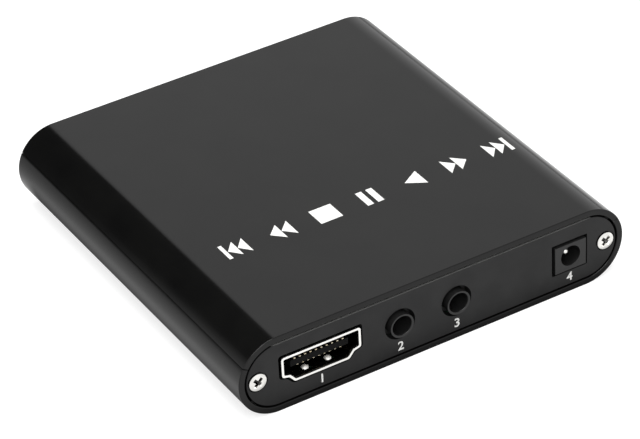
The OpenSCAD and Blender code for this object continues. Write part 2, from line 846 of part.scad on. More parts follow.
// Centre pin with a round tip, riveted to the strap that goes down into the board
module power_jack_pin() {
    tip_y = -dc_pin_back - dc_pin_d / 2;
    color([0.86, 0.85, 0.8])
        at_rear(dc_x, dc_proud) {
            translate([0, 0, dc_axis_h]) {
                rod_y(dc_pin_d, -dc_l - jack_leg_t, tip_y);
                translate([0, tip_y, 0])
                    sphere(d = dc_pin_d, $fn = 32);
                rod_y(dc_rivet_d, -dc_l - jack_leg_t - dc_rivet_l, -dc_l - jack_leg_t);
            }
            translate([-dc_strap_w / 2, -dc_l - jack_leg_t, 0])
                cube([dc_strap_w, jack_leg_t, dc_axis_h + dc_rivet_d / 2]);
            legs([dc_legs[1]], jack_leg_t, jack_leg_l, 0);
        }
}

module power_jack_contacts() {
    color([0.8, 0.78, 0.72])
        at_rear(dc_x, dc_proud) {
            translate([0, 0, dc_axis_h])
                contact_spring(1, dc_spring_y, dc_flat_x, dc_bore_d / 2);
            legs([dc_legs[0]], jack_leg_t, jack_leg_l, dc_axis_h);
        }
}

// ---- Memory stick socket, drawn with its mouth at y = 0 ----

usb_round = 0.6;
usb_leg_l = 2.2;
usb_leg_y = [-5, -11.4];
usb_legs = [for (s = [-1, 1], y = usb_leg_y) [s * (usb_open_w + usb_sheet) / 2, y]];
usb_contact_w = 1;
usb_contact_x = [-3.5, -1, 1, 3.5];
usb_tail_l = 1;
usb_tail_y = -usb_d - usb_tail_l;
usb_contact_back = 0.8;
usb_tails = [for (x = usb_contact_x) [x, usb_tail_y]];
usb_window_w = 2.6;
usb_window_l = 6.4;
usb_window_back = 2.9;
usb_tab_w = 1.7;

function usb_outline() = [for (p = box_outline(usb_open_w, usb_open_h)) p + [0, usb_sheet]];

// Window with a spring tab hanging into it from the mouth's side
module tab_window(h) {
    translate([0, -usb_window_back - usb_window_l / 2, 0])
        difference() {
            cube([usb_window_w, usb_window_l, h], center = true);
            translate([0, slot_w, 0])
                cube([usb_tab_w, usb_window_l, h + 2 * cut], center = true);
        }
}

module usb_socket_shell() {
    color([0.82, 0.82, 0.8])
        at_front(usb_x, usb_proud) {
            difference() {
                along_y(-usb_d, 0)
                    polygon(socket_outline(usb_outline(), usb_sheet, usb_round));
                along_y(-usb_d - cut, cut)
                    polygon(socket_outline(usb_outline(), 0, usb_round / 2));
                for (x = [-1, 1] * usb_open_w / 4, z = [usb_sheet, usb_sheet + usb_open_h])
                    translate([x, 0, z])
                        tab_window(3 * usb_sheet);
            }
            legs(usb_legs, usb_sheet, usb_leg_l, usb_open_h / 2);
        }
}

usb_tongue_z = usb_sheet + usb_open_h - usb_tongue_gap - usb_tongue_t;

// Contact strips under the tongue, through the block and down through the board
module usb_contact_row() {
    z = usb_tongue_z - lead_t / 2;
    for (x = usb_contact_x)
        translate([x, 0, 0])
            across_x(usb_contact_w)
                polygon(strip([[-usb_tongue_back - usb_contact_back, z], [usb_tail_y, z],
                    [usb_tail_y, -board_t - leg_out]], lead_t));
}

module usb_socket_insulator() {
    color([0.92, 0.92, 0.9])
        at_front(usb_x, usb_proud)
            difference() {
                union() {
                    along_y(-usb_d, -usb_cavity)
                        polygon(socket_outline(usb_outline(), -fit_clear, usb_round / 2));
                    translate([-usb_tongue_w / 2, -usb_cavity - cut, usb_tongue_z])
                        cube([usb_tongue_w, usb_cavity + cut - usb_tongue_back, usb_tongue_t]);
                }
                usb_contact_row();
            }
}

module usb_socket_contacts() {
    color([0.85, 0.7, 0.35])
        at_front(usb_x, usb_proud)
            usb_contact_row();
}

// ---- Memory card socket, drawn with y = 0 at the front plate's outer face ----

channel_w = card_w + 2 * card_side_clear;
channel_h = card_t + card_top_clear;
socket_front = -plate_t - body_gap;
card_stop = card_proud - card_l;
socket_end = card_stop - socket_end_gap;
socket_left = -channel_w / 2 - socket_wall;
bay_left = channel_w / 2;
bay_right = bay_left + bay_w;
socket_right = bay_right + socket_wall;
socket_top = socket_floor + channel_h;
slider_h = channel_h - 2 * slider_clear;
// The slider's arm meets the card's edge. At rest it stands one stroke out from its innermost place,
// which lies a little past a seated card's edge
over_push = 0.6;
arm_face = card_stop - slider_clear + slider_stroke - over_push;
slider_back = arm_face - slider_arm_l;
slider_x = bay_left + (bay_w - slider_w) / 2;
spring_room = 2.7;
bay_end = slider_back - slider_stroke - spring_room;
contact_x0 = 1 - channel_w / 2;
card_contact_w = 0.8;
card_contact_root = 0.4;
contact_reach = 5.2;
contact_bend = 3.2;
card_bump = 0.55;
card_tail_bend = 0.5;
card_tail_l = 1.4;
card_tail_y = -plate_face - socket_end + socket_back + card_tail_l;

function card_slot_outline() =
    [for (p = box_outline(channel_w, channel_h)) p + [0, socket_floor]];

// Push-push latch: an oval track round a heart-shaped island in the slider's top. At rest the
// pin's free end stands at the track's inner end, in the lane on the outer side.
track_w = 0.42;
track_depth = 0.6;
island_w = 0.36;
island_l = 1.4;
track_l = slider_stroke + 1.7;
track_rest = 0.65;
pin_d = 0.3;
pin_gap = 0.03;
pin_swing = (island_w + track_w) / 2;
pin_x = slider_x + slider_w / 2 + pin_swing;
pin_set = 4.2;
pin_y = slider_back + pin_set;
pin_foot = 0.45;
bay_front = slider_back + slider_l + body_gap;
pivot_set = 0.8;
pivot_y = bay_front + pivot_set;
pivot_depth = 1;
relief_top = socket_top - pin_d - pin_gap - slider_clear;
track_y = pin_y + track_l / 2 - track_rest;

module card_socket_base() {
    color([0.08, 0.08, 0.08])
        at_front(card_x)
            difference() {
                translate([socket_left, socket_end - socket_back, 0])
                    cube([socket_right - socket_left, socket_front - socket_end + socket_back, socket_top]);
                // card channel and ejector bay
                translate([-channel_w / 2, socket_end, socket_floor])
                    cube([channel_w, socket_front - socket_end + cut, channel_h + cut]);
                translate([bay_left - cut, bay_end, socket_floor])
                    cube([bay_w + cut, bay_front - bay_end, channel_h + cut]);
                // slots under the contact springs
                for (i = [0 : card_contacts_n - 1])
                    translate([contact_x0 + i * card_pitch - card_contact_w / 2 - slider_clear,
                        card_stop, -cut])
                        cube([card_contact_w + 2 * slider_clear, contact_reach, socket_floor + 2 * cut]);
                card_contact_row();
                // groove and pivot hole for the latch pin
                translate([pin_x - pin_d, bay_front - cut, socket_top - pin_d - 2 * pin_gap])
                    cube([2 * pin_d, pivot_y - bay_front + cut + pin_d, pin_d + cut]);
                translate([pin_x, pivot_y, socket_top - pin_d - pivot_depth - pin_gap])
                    cylinder(d = pin_d + 2 * pin_gap, h = pivot_depth + cut, $fn = 24);
            }
}

// Contact springs: soldered behind the socket, through its rear wall, and up to touch the card
module card_contact_row() {
    z = socket_floor - lead_t;
    rear = socket_end - socket_back;
    tip = card_stop + contact_reach - card_contact_root;
    for (i = [0 : card_contacts_n - 1])
        translate([contact_x0 + i * card_pitch, 0, 0])
            across_x(card_contact_w)
                polygon(strip([[rear - card_tail_l, lead_t / 2], [rear - card_tail_bend, lead_t / 2],
                    [rear - card_tail_bend, z], [card_stop + card_contact_root, z],
                    [card_stop + contact_bend, z + card_bump], [tip, z + card_bump / 2]], lead_t));
}

module card_socket_contacts() {
    color([0.85, 0.7, 0.35])
        at_front(card_x)
            card_contact_row();
}

// Folded steel cover: a top sheet with spring fingers over the card, and side flanges with solder feet
foot_w = 2;
foot_inset = 2;
flange_h = 1.8;
cover_finger_w = 2.6;
cover_finger_l = 9;
cover_finger_x = 6;
cover_notch_w = 12;
cover_notch_l = 1.5;

module card_socket_cover() {
    w = socket_right - socket_left + 2 * (cover_t + fit_clear);
    x0 = socket_left - cover_t - fit_clear;
    y0 = socket_end - socket_back;
    l = socket_front - y0;
    color([0.8, 0.8, 0.78])
        at_front(card_x)
            difference() {
                union() {
                    translate([x0, y0, socket_top])
                        cube([w, l, cover_t]);
                    for (x = [x0, x0 + w - cover_t]) {
                        translate([x, y0, socket_top - flange_h])
                            cube([cover_t, l, flange_h + cover_t]);
                        for (y = [y0 + foot_inset, y0 + l - foot_inset - foot_w])
                            translate([x, y, 0])
                                cube([cover_t, foot_w, socket_top]);
                    }
                }
                for (x = [-1, 1] * cover_finger_x)
                    translate([x, (card_stop + socket_front) / 2, socket_top])
                        difference() {
                            cube([cover_finger_w + 4 * slot_w, cover_finger_l, cut], center = true);
                            translate([0, slot_w, 0])
                                cube([cover_finger_w, cover_finger_l, 2 * cut], center = true);
                        }
                translate([0, y0, socket_top])
                    cube([cover_notch_w, 2 * cover_notch_l, cut], center = true);
            }
}

// Ejector slider: a bar with the latch track in its top and an arm behind the card's edge
module card_slider() {
    top = socket_floor + slider_clear + slider_h;
    color([0.93, 0.93, 0.88])
        at_front(card_x)
            difference() {
                union() {
                    translate([slider_x, slider_back, socket_floor + slider_clear])
                        cube([slider_w, slider_l, slider_h]);
                    translate([bay_left - slider_arm, slider_back, socket_floor + slider_clear + card_bump])
                        cube([slider_arm + slider_w / 2, slider_arm_l, slider_h - card_bump]);
                }
                // the top is lower under the latch pin's wire
                translate([slider_x - cut, pin_y - 2 * pin_d, relief_top])
                    cube([slider_w + 2 * cut, slider_l, top]);
                translate([slider_x + slider_w / 2, track_y, relief_top - track_depth])
                    linear_extrude(track_depth + cut)
                        difference() {
                            oval(island_w + 2 * track_w, track_l);
                            heart();
                        }
            }
}

module oval(w, l) {
    square([w, l - w], center = true);
    for (s = [-1, 1])
        translate([0, s * (l - w) / 2])
            circle(d = w, $fn = 32);
}

// Island that the latch pin goes round, notched where the pin rests with the card seated
module heart() {
    polygon([[-island_w / 2, island_l / 2], [0, -island_l / 2], [island_w / 2, island_l / 2],
        [0, island_l / 4]]);
}

// Latch pin: a wire staple, one end turning in the base and the other in the slider's track
module card_latch_pin() {
    z = socket_top - pin_d / 2 - pin_gap;
    color([0.75, 0.75, 0.76])
        at_front(card_x) {
            translate([pin_x, 0, z])
                rod_y(pin_d, pin_y, pivot_y);
            translate([pin_x, pin_y, relief_top - pin_foot])
                cylinder(d = pin_d, h = z - relief_top + pin_foot, $fn = 24);
            translate([pin_x, pivot_y, z - pivot_depth + pin_gap])
                cylinder(d = pin_d, h = pivot_depth - pin_gap, $fn = 24);
        }
}

// Ejector spring: a helix of round wire between the bay's end and the slider
full_turn = 360;
function spring_point(t) =
    let (turn = full_turn * spring_turns * t)
    let (r = (spring_d - spring_wire) / 2)
    [r * cos(turn), spring_y0 + (spring_y1 - spring_y0) * t, r * sin(turn)];
spring_y0 = bay_end + spring_wire / 2 + fit_clear;
spring_y1 = slider_back - spring_wire / 2 - fit_clear;
spring_rings = 8 * spring_turns;
spring_sides = 6;

module card_ejector_spring() {
    ring = [for (k = [0 : spring_rings]) each spring_ring(k / spring_rings)];
    count = len(ring) / spring_sides;
    sides = [for (k = [0 : count - 2], i = [0 : spring_sides - 1]) each
        let (j = (i + 1) % spring_sides)
        let (a = k * spring_sides + i)
        let (b = k * spring_sides + j)
        [[a, a + spring_sides, b], [b, a + spring_sides, b + spring_sides]]];
    first = [for (i = [1 : spring_sides - 2]) [0, i, i + 1]];
    base = (count - 1) * spring_sides;
    last = [for (i = [1 : spring_sides - 2]) [base, base + i + 1, base + i]];
    color([0.75, 0.75, 0.76])
        at_front(card_x)
            translate([slider_x + slider_w / 2, 0, socket_floor + channel_h / 2])
                polyhedron(ring, concat(sides, first, last));
}

// Six points of the wire's section at share t of the helix
function spring_ring(t) =
    let (turn = full_turn * spring_turns * t)
    let (out = [cos(turn), 0, sin(turn)])
    let (climb = (spring_y1 - spring_y0) / (2 * PI * spring_turns))
    let (along = unit([-(spring_d - spring_wire) / 2 * sin(turn), climb,
        (spring_d - spring_wire) / 2 * cos(turn)]))
    [for (i = [0 : spring_sides - 1])
        let (w = full_turn * i / spring_sides)
        spring_point(t) + spring_wire / 2 * (cos(w) * out + sin(w) * cross(along, out))];

// ---- Infrared receiver, its window, and the power lamp ----

wire_w = 0.45;
ir_lens_gap = 0.6;
ir_front = -plate_t - window_flange_t - ir_lens_r - ir_lens_gap;
ir_pitch = 1.8;
ir_legs = [for (i = [-1, 0, 1]) [i * ir_pitch, ir_front - ir_t / 2]];

module ir_receiver() {
    color([0.06, 0.05, 0.06])
        at_front(ir_x) {
            translate([-ir_w / 2, ir_front - ir_t, ir_axis_h - ir_h / 2])
                cube([ir_w, ir_t, ir_h]);
            translate([0, ir_front, ir_axis_h])
                difference() {
                    sphere(r = ir_lens_r, $fn = 48);
                    translate([0, -ir_lens_r - ir_t / 2, 0])
                        cube(2 * ir_lens_r, center = true);
                }
            legs(ir_legs, wire_w, wire_w, ir_axis_h - ir_h / 2 + cut / 2);
        }
}

module ir_window() {
    color([0.12, 0.02, 0.03])
        at_front(ir_x)
            translate([0, 0, ir_axis_h]) {
                rod_y(window_d, -plate_t, 0);
                rod_y(window_flange_d, -plate_t - window_flange_t, -plate_t);
            }
}

// The lamp stands midway between the two sockets beside it
led_x = (usb_x + usb_open_w / 2 + usb_sheet + card_x + socket_left - cover_t - fit_clear) / 2;
led_pitch = 2.54;
led_leg_back = 1.2;
led_leg_root = 0.3;
led_legs = [for (s = [-1, 1]) [s * led_pitch / 2, led_proud - led_l - led_leg_back]];

module power_lamp() {
    color([0.3, 0.5, 0.9])
        at_front(led_x) {
            translate([0, led_proud, led_axis_h]) {
                rod_y(led_d, -led_l, -led_d / 2);
                translate([0, -led_d / 2, 0])
                    sphere(d = led_d, $fn = 48);
                rod_y(led_d + 2 * led_flange, -led_l, -led_l + led_flange_t);
            }
            for (p = led_legs)
                translate([p[0], 0, 0])
                    across_x(wire_w)
                        polygon(strip([[led_proud - led_l + led_leg_root, led_axis_h], [p[1], led_axis_h],
                            [p[1], -board_t - leg_out]], wire_w));
        }
}

// ---- Components on the board, each drawn with z = 0 on the board ----

lead_root = 0.3;
lead_knee = 0.35;
lead_reach = 0.9;
chip_gap = 0.1;
cap_foot = cap_d + 2 * cap_margin;
// The processor stands midway between the card socket's tails and the round jacks, the rest round it
cpu_y = (card_tail_y + jack_back_y) / 2;
cpu_left = cpu_x - cpu_w / 2 - chip_space;
cpu_right = cpu_x + cpu_w / 2;
ram_at = [for (i = [0, 1]) [cpu_right + ram_strip + ram_w / 2 + i * (ram_w + ram_space), cpu_y]];
flash_at = [cpu_left - lead_reach - flash_w / 2, cpu_y];
crystal_at = [cpu_left - crystal_l / 2 - crystal_rim, cpu_y - (cpu_w + crystal_w) / 2];
crystal_edge = crystal_w / 2 + crystal_rim;
// Capacitors stand against the screw bosses' noses: two behind the crystal, two behind the receiver
cap_x = nose_x - ir_gap - cap_foot / 2;
cap_left_y = crystal_at[1] + crystal_edge + chip_space + cap_foot / 2;
cap_right_y = ir_t - ir_front - plate_face + 2 * chip_space + cap_foot / 2;
cap_at = [for (i = [0, 1], c = [[-cap_x, cap_left_y], [cap_x, cap_right_y]])
    [c[0], c[1] + i * (cap_foot + chip_space)]];
coil_y = cap_left_y + 1.5 * cap_foot + 2 * chip_space + coil_w / 2;
coil_at = [for (i = [0, 1]) [cpu_left - coil_w / 2 - i * (coil_w + ram_space), coil_y]];
regulator_at = [coil_at[1][0], crystal_at[1] - crystal_edge - 2 * chip_space - reg_l / 2];
flash_leads = 4;
flash_pitch = 1.27;
reg_leads = 3;
reg_pitch = 2.3;
mlcc_rows = 6;
mlcc_columns = 2;
mlcc_step = 1.9;

module on_board(p) {
    translate([p[0], p[1], board_top])
        children();
}

// Flat package with gull-wing leads on two sides
module leaded_chip(w, l, h, count, pitch) {
    translate([-w / 2, -l / 2, chip_gap])
        cube([w, l, h - chip_gap]);
    for (s = [0, 1], i = [0 : count - 1])
        mirror([s, 0, 0])
            translate([w / 2, (i - (count - 1) / 2) * pitch, 0])
                rotate([0, 0, -90])
                    across_x(pitch / 2)
                        polygon(strip([[-lead_root, h / 2], [lead_knee, h / 2], [lead_knee, lead_t / 2],
                            [lead_reach, lead_t / 2]], lead_t));
}

module media_processor() {
    color([0.1, 0.1, 0.11])
        on_board([cpu_x, cpu_y])
            translate([-cpu_w / 2, -cpu_w / 2, 0])
                cube([cpu_w, cpu_w, cpu_h]);
}

module thermal_pad() {
    color([0.6, 0.75, 0.85])
        on_board([cpu_x, cpu_y])
            translate([pad_margin - cpu_w / 2, pad_margin - cpu_w / 2, cpu_h])
                cube([cpu_w - 2 * pad_margin, cpu_w - 2 * pad_margin, pad_t]);
}

module heat_sink() {
    pitch = (cpu_w - fin_t) / (sink_fins - 1);
    color([0.72, 0.73, 0.75])
        on_board([cpu_x, cpu_y])
            translate([-cpu_w / 2, -cpu_w / 2, cpu_h + pad_t]) {
                cube([cpu_w, cpu_w, sink_base]);
                for (i = [0 : sink_fins - 1])
                    translate([i * pitch, 0, 0])
                        cube([fin_t, cpu_w, sink_h]);
            }
}

module memory_chips() {
    color([0.12, 0.12, 0.13])
        for (p = ram_at)
            on_board(p)
                translate([-ram_w / 2, -ram_l / 2, 0])
                    cube([ram_w, ram_l, ram_h]);
}

module flash_chip() {
    color([0.12, 0.12, 0.13])
        on_board(flash_at)
            leaded_chip(flash_w, flash_w, flash_h, flash_leads, flash_pitch);
}

module voltage_regulator() {
    color([0.14, 0.14, 0.15])
        on_board(regulator_at)
            leaded_chip(reg_w, reg_l, reg_h, reg_leads, reg_pitch);
}

module power_inductors() {
    color([0.25, 0.25, 0.26])
        for (p = coil_at)
            on_board(p) {
                translate([-coil_w / 2, -coil_w / 2, 0])
                    cube([coil_w, coil_w, coil_flange]);
                cylinder(d = coil_core_d, h = coil_h);
                translate([0, 0, coil_h - coil_flange])
                    cylinder(d = coil_w, h = coil_flange);
            }
}

module electrolytic_capacitors() {
    color([0.78, 0.78, 0.8])
        for (p = cap_at)
            on_board(p) {
                translate([-cap_foot / 2, -cap_foot / 2, 0])
                    cube([cap_foot, cap_foot, cap_foot_h]);
                cylinder(d = cap_d, h = cap_h);
            }
}

module crystal() {
    color([0.82, 0.82, 0.8])
        on_board(crystal_at) {
            linear_extrude(crystal_h)
                rotate(90)
                    oval(crystal_w, crystal_l);
            linear_extrude(crystal_rim_t)
                rotate(90)
                    oval(crystal_w + 2 * crystal_rim, crystal_l + 2 * crystal_rim);
        }
}

module ceramic_capacitors() {
    color([0.72, 0.6, 0.45])
        for (i = [0 : mlcc_rows - 1], j = [0 : mlcc_columns - 1])
            on_board([cpu_right + 2 * chip_space + j * mlcc_step, cpu_y])
                translate([0, (i - (mlcc_rows - 1) / 2) * mlcc_pitch - mlcc_l / 2, 0])
                    cube([mlcc_w, mlcc_l, mlcc_h]);
}

upper_shell();
lower_shell();
rear_plate();
front_plate();
rear_plate_screws();
front_plate_screws();
insulating_film();
main_board();
video_socket_shell();
video_socket_insulator();
video_socket_contacts();
av_jack_body();
av_jack_contacts();
component_jack_body();
component_jack_contacts();
power_jack_body();
power_jack_pin();
power_jack_contacts();
usb_socket_shell();
usb_socket_insulator();
usb_socket_contacts();
card_socket_base();
card_socket_cover();
card_socket_contacts();
card_slider();
card_latch_pin();
card_ejector_spring();
ir_receiver();
ir_window();
power_lamp();
media_processor();
thermal_pad();
heat_sink();
memory_chips();
flash_chip();
voltage_regulator();
power_inductors();
electrolytic_capacitors();
crystal();
ceramic_capacitors();
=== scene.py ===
"""Looks of the compact media player: its two-part shell, end plates, sockets and board."""

from math import cos, pi, radians, sin

import bmesh
import bpy
from mathutils import Matrix, Vector


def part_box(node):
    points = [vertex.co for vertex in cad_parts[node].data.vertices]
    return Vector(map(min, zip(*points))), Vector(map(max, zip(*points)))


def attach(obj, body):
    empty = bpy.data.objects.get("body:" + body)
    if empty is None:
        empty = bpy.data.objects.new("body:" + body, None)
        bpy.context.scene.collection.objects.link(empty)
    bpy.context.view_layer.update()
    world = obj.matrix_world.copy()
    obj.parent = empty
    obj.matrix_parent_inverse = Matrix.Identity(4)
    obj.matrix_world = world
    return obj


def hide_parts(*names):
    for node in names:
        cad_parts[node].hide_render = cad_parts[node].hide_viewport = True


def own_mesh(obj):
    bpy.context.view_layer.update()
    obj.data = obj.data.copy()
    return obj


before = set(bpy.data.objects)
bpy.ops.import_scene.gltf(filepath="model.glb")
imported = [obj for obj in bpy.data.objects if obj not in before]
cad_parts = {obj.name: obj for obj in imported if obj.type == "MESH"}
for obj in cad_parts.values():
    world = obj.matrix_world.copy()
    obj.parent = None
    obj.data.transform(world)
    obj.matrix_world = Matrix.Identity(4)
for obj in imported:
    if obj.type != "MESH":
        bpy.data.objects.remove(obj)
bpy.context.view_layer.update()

# ---- Studio ----
# The player lies on a white table under a wide soft lamp, with a weaker one over the camera. The
# room round it is white. A black cloth hung behind the table gives the glossy side of the housing
# its dark band.

mm = 0.001

camera_place = Vector((225.895, 395.411, 318.554)) * mm
camera_right = Vector((-0.85063, 0.52384, -0.04497))
camera_up = Vector((-0.33004, -0.46542, 0.82125))
camera_back = Vector((0.40928, 0.71342, 0.56879))
camera = bpy.data.objects.new("camera", bpy.data.cameras.new("camera"))
camera.data.sensor_width = 36
camera.data.lens = 182.39
camera.data.clip_start = 0.05
turn = Matrix((camera_right, camera_up, camera_back)).transposed()
camera.matrix_world = Matrix.Translation(camera_place) @ turn.to_4x4()
bpy.context.collection.objects.link(camera)
bpy.context.scene.camera = camera
bpy.context.scene.view_settings.view_transform = "Standard"


def soft_lamp(name, place, width, energy):
    """A round lamp that faces the player."""
    lamp = bpy.data.objects.new(name, bpy.data.lights.new(name, "AREA"))
    lamp.data.shape = "DISK"
    lamp.data.size = width
    lamp.data.energy = energy
    aim = place.to_track_quat("Z", "Y").to_matrix().to_4x4()
    lamp.matrix_world = Matrix.Translation(place) @ aim
    bpy.context.collection.objects.link(lamp)


lamp_place, lamp_width, lamp_energy = Vector((0.05, 0.08, 0.7)), 0.5, 4.0
soft_lamp("lamp", lamp_place, lamp_width, lamp_energy)
# the weaker one lights what stands deep in the sockets
spark_lift, spark_width, spark_energy = 0.06, 0.3, 1.5
soft_lamp("spark", camera_place + spark_lift * camera_up, spark_width, spark_energy)

# the cloth's edges: each is a plane through the player, given by the side that the cloth lies on,
# with how softly it ends
cloth_edges = (
    ((0.7077, 0.2931, 0.6429), 0.02),
    ((0.643, -0.766, 0.0), 0.05),
    ((-0.7193, -0.6947, 0.0), 0.05),
)
cloth_top = 0.88
cloth_top_soft = 0.06
cloth_tone = 0.02
wall_top, wall_tone = 0.65, 1.2
ceiling_edge, ceiling_tone = 0.9, 0.8
fill_tone = 0.55
table_half = 3.0
table_drop = 0.01 * mm
table_glow = 0.72
table_colour = 0.4
table_mirrored = 1.25
# what gloss sees of the table fades towards the back: from here, to there, to so much
table_fades = ((0.03, -0.09, 0.6), (-0.17, -0.23, 0.02))
# and it carries a painted shadow close round the player, from under it to a little way off
player_halves = (("X", 37.1 * mm), ("Y", 37.8 * mm))
shade_start, shade_end, shade_tone = -2 * mm, 7 * mm, 0.12
white = (1, 1, 1, 1)


def maths(nodes, links, kind, a, b=0.0):
    """A Math node fed by two sockets or numbers."""
    node = nodes.new("ShaderNodeMath")
    node.operation = kind
    for place, value in enumerate((a, b)):
        if isinstance(value, (int, float)):
            node.inputs[place].default_value = value
        else:
            links.new(value, node.inputs[place])
    return node.outputs[0]


def between(nodes, links, value, low, high, start=0.0, end=1.0):
    """Eases from start to end as a value goes from low to high."""
    node = nodes.new("ShaderNodeMapRange")
    node.interpolation_type = "SMOOTHSTEP"
    sizes = {"From Min": low, "From Max": high, "To Min": start, "To Max": end}
    for name, size in sizes.items():
        node.inputs[name].default_value = size
    links.new(value, node.inputs["Value"])
    return node.outputs["Result"]


def axes_of(nodes, links, place):
    """The three coordinates of a place, by their names."""
    split = nodes.new("ShaderNodeSeparateXYZ")
    links.new(place, split.inputs[0])
    return split.outputs


def picked_by(nodes, links, rays, shader, other):
    """The other shader for the rays that are picked, and the first for the rest."""
    mix = nodes.new("ShaderNodeMixShader")
    for place, part in enumerate((rays, shader, other)):
        links.new(part, mix.inputs[place])
    return mix.outputs[0]


def studio_room():
    """White to the camera. Gloss sees a bright wall and a dimmer ceiling round the black cloth."""
    world = bpy.data.worlds.new("room")
    world.use_nodes = True
    nodes, links = world.node_tree.nodes, world.node_tree.links
    place = nodes.new("ShaderNodeTexCoord").outputs["Generated"]
    up = axes_of(nodes, links, place)["Z"]
    cloth = between(nodes, links, up, cloth_top, cloth_top + cloth_top_soft, 1, 0)
    for side, softness in cloth_edges:
        across = nodes.new("ShaderNodeVectorMath")
        across.operation = "DOT_PRODUCT"
        across.inputs[1].default_value = side
        links.new(place, across.inputs[0])
        inside = between(nodes, links, across.outputs["Value"], -softness, softness)
        cloth = maths(nodes, links, "MULTIPLY", cloth, inside)
    pale = between(nodes, links, up, wall_top, ceiling_edge, wall_tone, ceiling_tone)
    tone = nodes.new("ShaderNodeMix")
    links.new(cloth, tone.inputs["Factor"])
    links.new(pale, tone.inputs["A"])
    tone.inputs["B"].default_value = cloth_tone
    fill = nodes["Background"]
    mirrored = nodes.new("ShaderNodeBackground")
    backdrop = nodes.new("ShaderNodeBackground")
    for light, strength in ((fill, fill_tone), (mirrored, 1.0), (backdrop, 1.0)):
        light.inputs["Color"].default_value = white
        light.inputs["Strength"].default_value = strength
    links.new(tone.outputs["Result"], mirrored.inputs["Strength"])
    ray = nodes.new("ShaderNodeLightPath").outputs
    straight = maths(nodes, links, "MAXIMUM", ray["Is Camera Ray"], ray["Is Transmission Ray"])
    lit = picked_by(nodes, links, ray["Is Glossy Ray"], fill.outputs[0], mirrored.outputs[0])
    seen = picked_by(nodes, links, straight, lit, backdrop.outputs[0])
    links.new(seen, nodes["World Output"].inputs["Surface"])
    bpy.context.scene.world = world


studio_room()


def mesh_of(name, bm):
    """Turns a bmesh into a mesh."""
    mesh = bpy.data.meshes.new(name)
    bm.to_mesh(mesh)
    bm.free()
    return mesh


def table_top():
    """A wide white table that keeps the soft shadow."""
    bm = bmesh.new()
    bmesh.ops.create_grid(bm, x_segments=1, y_segments=1, size=table_half)
    bmesh.ops.translate(bm, verts=bm.verts, vec=(0, 0, -table_drop))
    table = bpy.data.objects.new("table", mesh_of("table", bm))
    bpy.context.collection.objects.link(table)
    paint = bpy.data.materials.new("white_table")
    paint.use_nodes = True
    nodes, links = paint.node_tree.nodes, paint.node_tree.links
    shader = nodes["Principled BSDF"]
    shader.inputs["Base Color"].default_value = (table_colour, table_colour, table_colour, 1)
    shader.inputs["Roughness"].default_value = 0.9
    shader.inputs["Specular IOR Level"].default_value = 0.0
    shader.inputs["Emission Color"].default_value = white
    axes = axes_of(nodes, links, nodes.new("ShaderNodeTexCoord").outputs["Object"])
    beside = []
    for axis, half in player_halves:
        off = maths(nodes, links, "ABSOLUTE", axes[axis])
        beside.append(maths(nodes, links, "SUBTRACT", off, half))
    near = maths(nodes, links, "MAXIMUM", *beside)
    strength = between(nodes, links, near, shade_start, shade_end, shade_tone, 1.0)
    for start, end, least in table_fades:
        back = between(nodes, links, axes["Y"], end, start, least, 1.0)
        strength = maths(nodes, links, "MULTIPLY", strength, back)
    strength = maths(nodes, links, "MULTIPLY", strength, table_mirrored)
    mirrored = nodes.new("ShaderNodeEmission")
    links.new(strength, mirrored.inputs["Strength"])
    ray = nodes.new("ShaderNodeLightPath").outputs
    straight = maths(nodes, links, "MAXIMUM", ray["Is Camera Ray"], ray["Is Transmission Ray"])
    glow = maths(nodes, links, "MULTIPLY", straight, table_glow)
    links.new(glow, shader.inputs["Emission Strength"])
    seen = picked_by(nodes, links, ray["Is Glossy Ray"], shader.outputs[0], mirrored.outputs[0])
    links.new(seen, nodes["Material Output"].inputs["Surface"])
    table.data.materials.append(paint)


table_top()

# ---- Lower shell ----
# An extruded aluminium trough, black anodised: the floor and the lower part of both round sides.
# The board's grooves, the screw bosses and the ledges of the side joint are part of the extrusion.
# The ends are sawn off and deburred.

shell_low, shell_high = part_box("lower_shell")
end_y = shell_high.y
outer_r = 7.3 * mm
round_steps = 40
mid_z = shell_low.z + outer_r
round_x = shell_high.x - outer_r
wall = 1.1 * mm
seam_angle = radians(30)
seam_gap = 0.1 * mm
seam_z = mid_z + outer_r * sin(seam_angle)
plate_t = 1.5 * mm
plate_recess = 0.1 * mm
plate_face = end_y - plate_recess
plate_seat = plate_face - plate_t
screw_x = shell_high.x - 3.5 * mm
nose_x = screw_x - 1.9 * mm
board_low, board_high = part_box("main_board")
groove_clear = 0.1 * mm
floor_top = 0.6 * mm
groove_foot_x = 32.4 * mm
groove_wall_x = 35.2 * mm
boss_r = 1.15 * mm
boss_top = mid_z + boss_r
boss_web = 0.8 * mm
boss_low_x, boss_high_x = 36.3 * mm, 36.6 * mm
ledge_x = 34.24 * mm
ledge_h = 0.7 * mm
ledge_top = seam_z - seam_gap / 2
ledge_drop = 0.02 * mm
ledge_low_x, ledge_high_x = 35.9 * mm, 35.4 * mm
deburr = 0.14 * mm
seam_edge = 0.02 * mm
weld = 0.0005 * mm
hair = 0.001 * mm
flat_side = radians(0.5)


def surface(name, colour, roughness, metallic=0.0, ior=1.45):
    """A material with one shader, and the object coordinates that its patterns follow."""
    material = bpy.data.materials.new(name)
    material.use_nodes = True
    shader = material.node_tree.nodes["Principled BSDF"]
    shader.inputs["Base Color"].default_value = (*colour, 1)
    shader.inputs["Roughness"].default_value = roughness
    shader.inputs["Metallic"].default_value = metallic
    shader.inputs["IOR"].default_value = ior
    place = material.node_tree.nodes.new("ShaderNodeTexCoord")
    return material, shader, place.outputs["Object"]


def tree_of(material):
    """A material's nodes and links."""
    return material.node_tree.nodes, material.node_tree.links


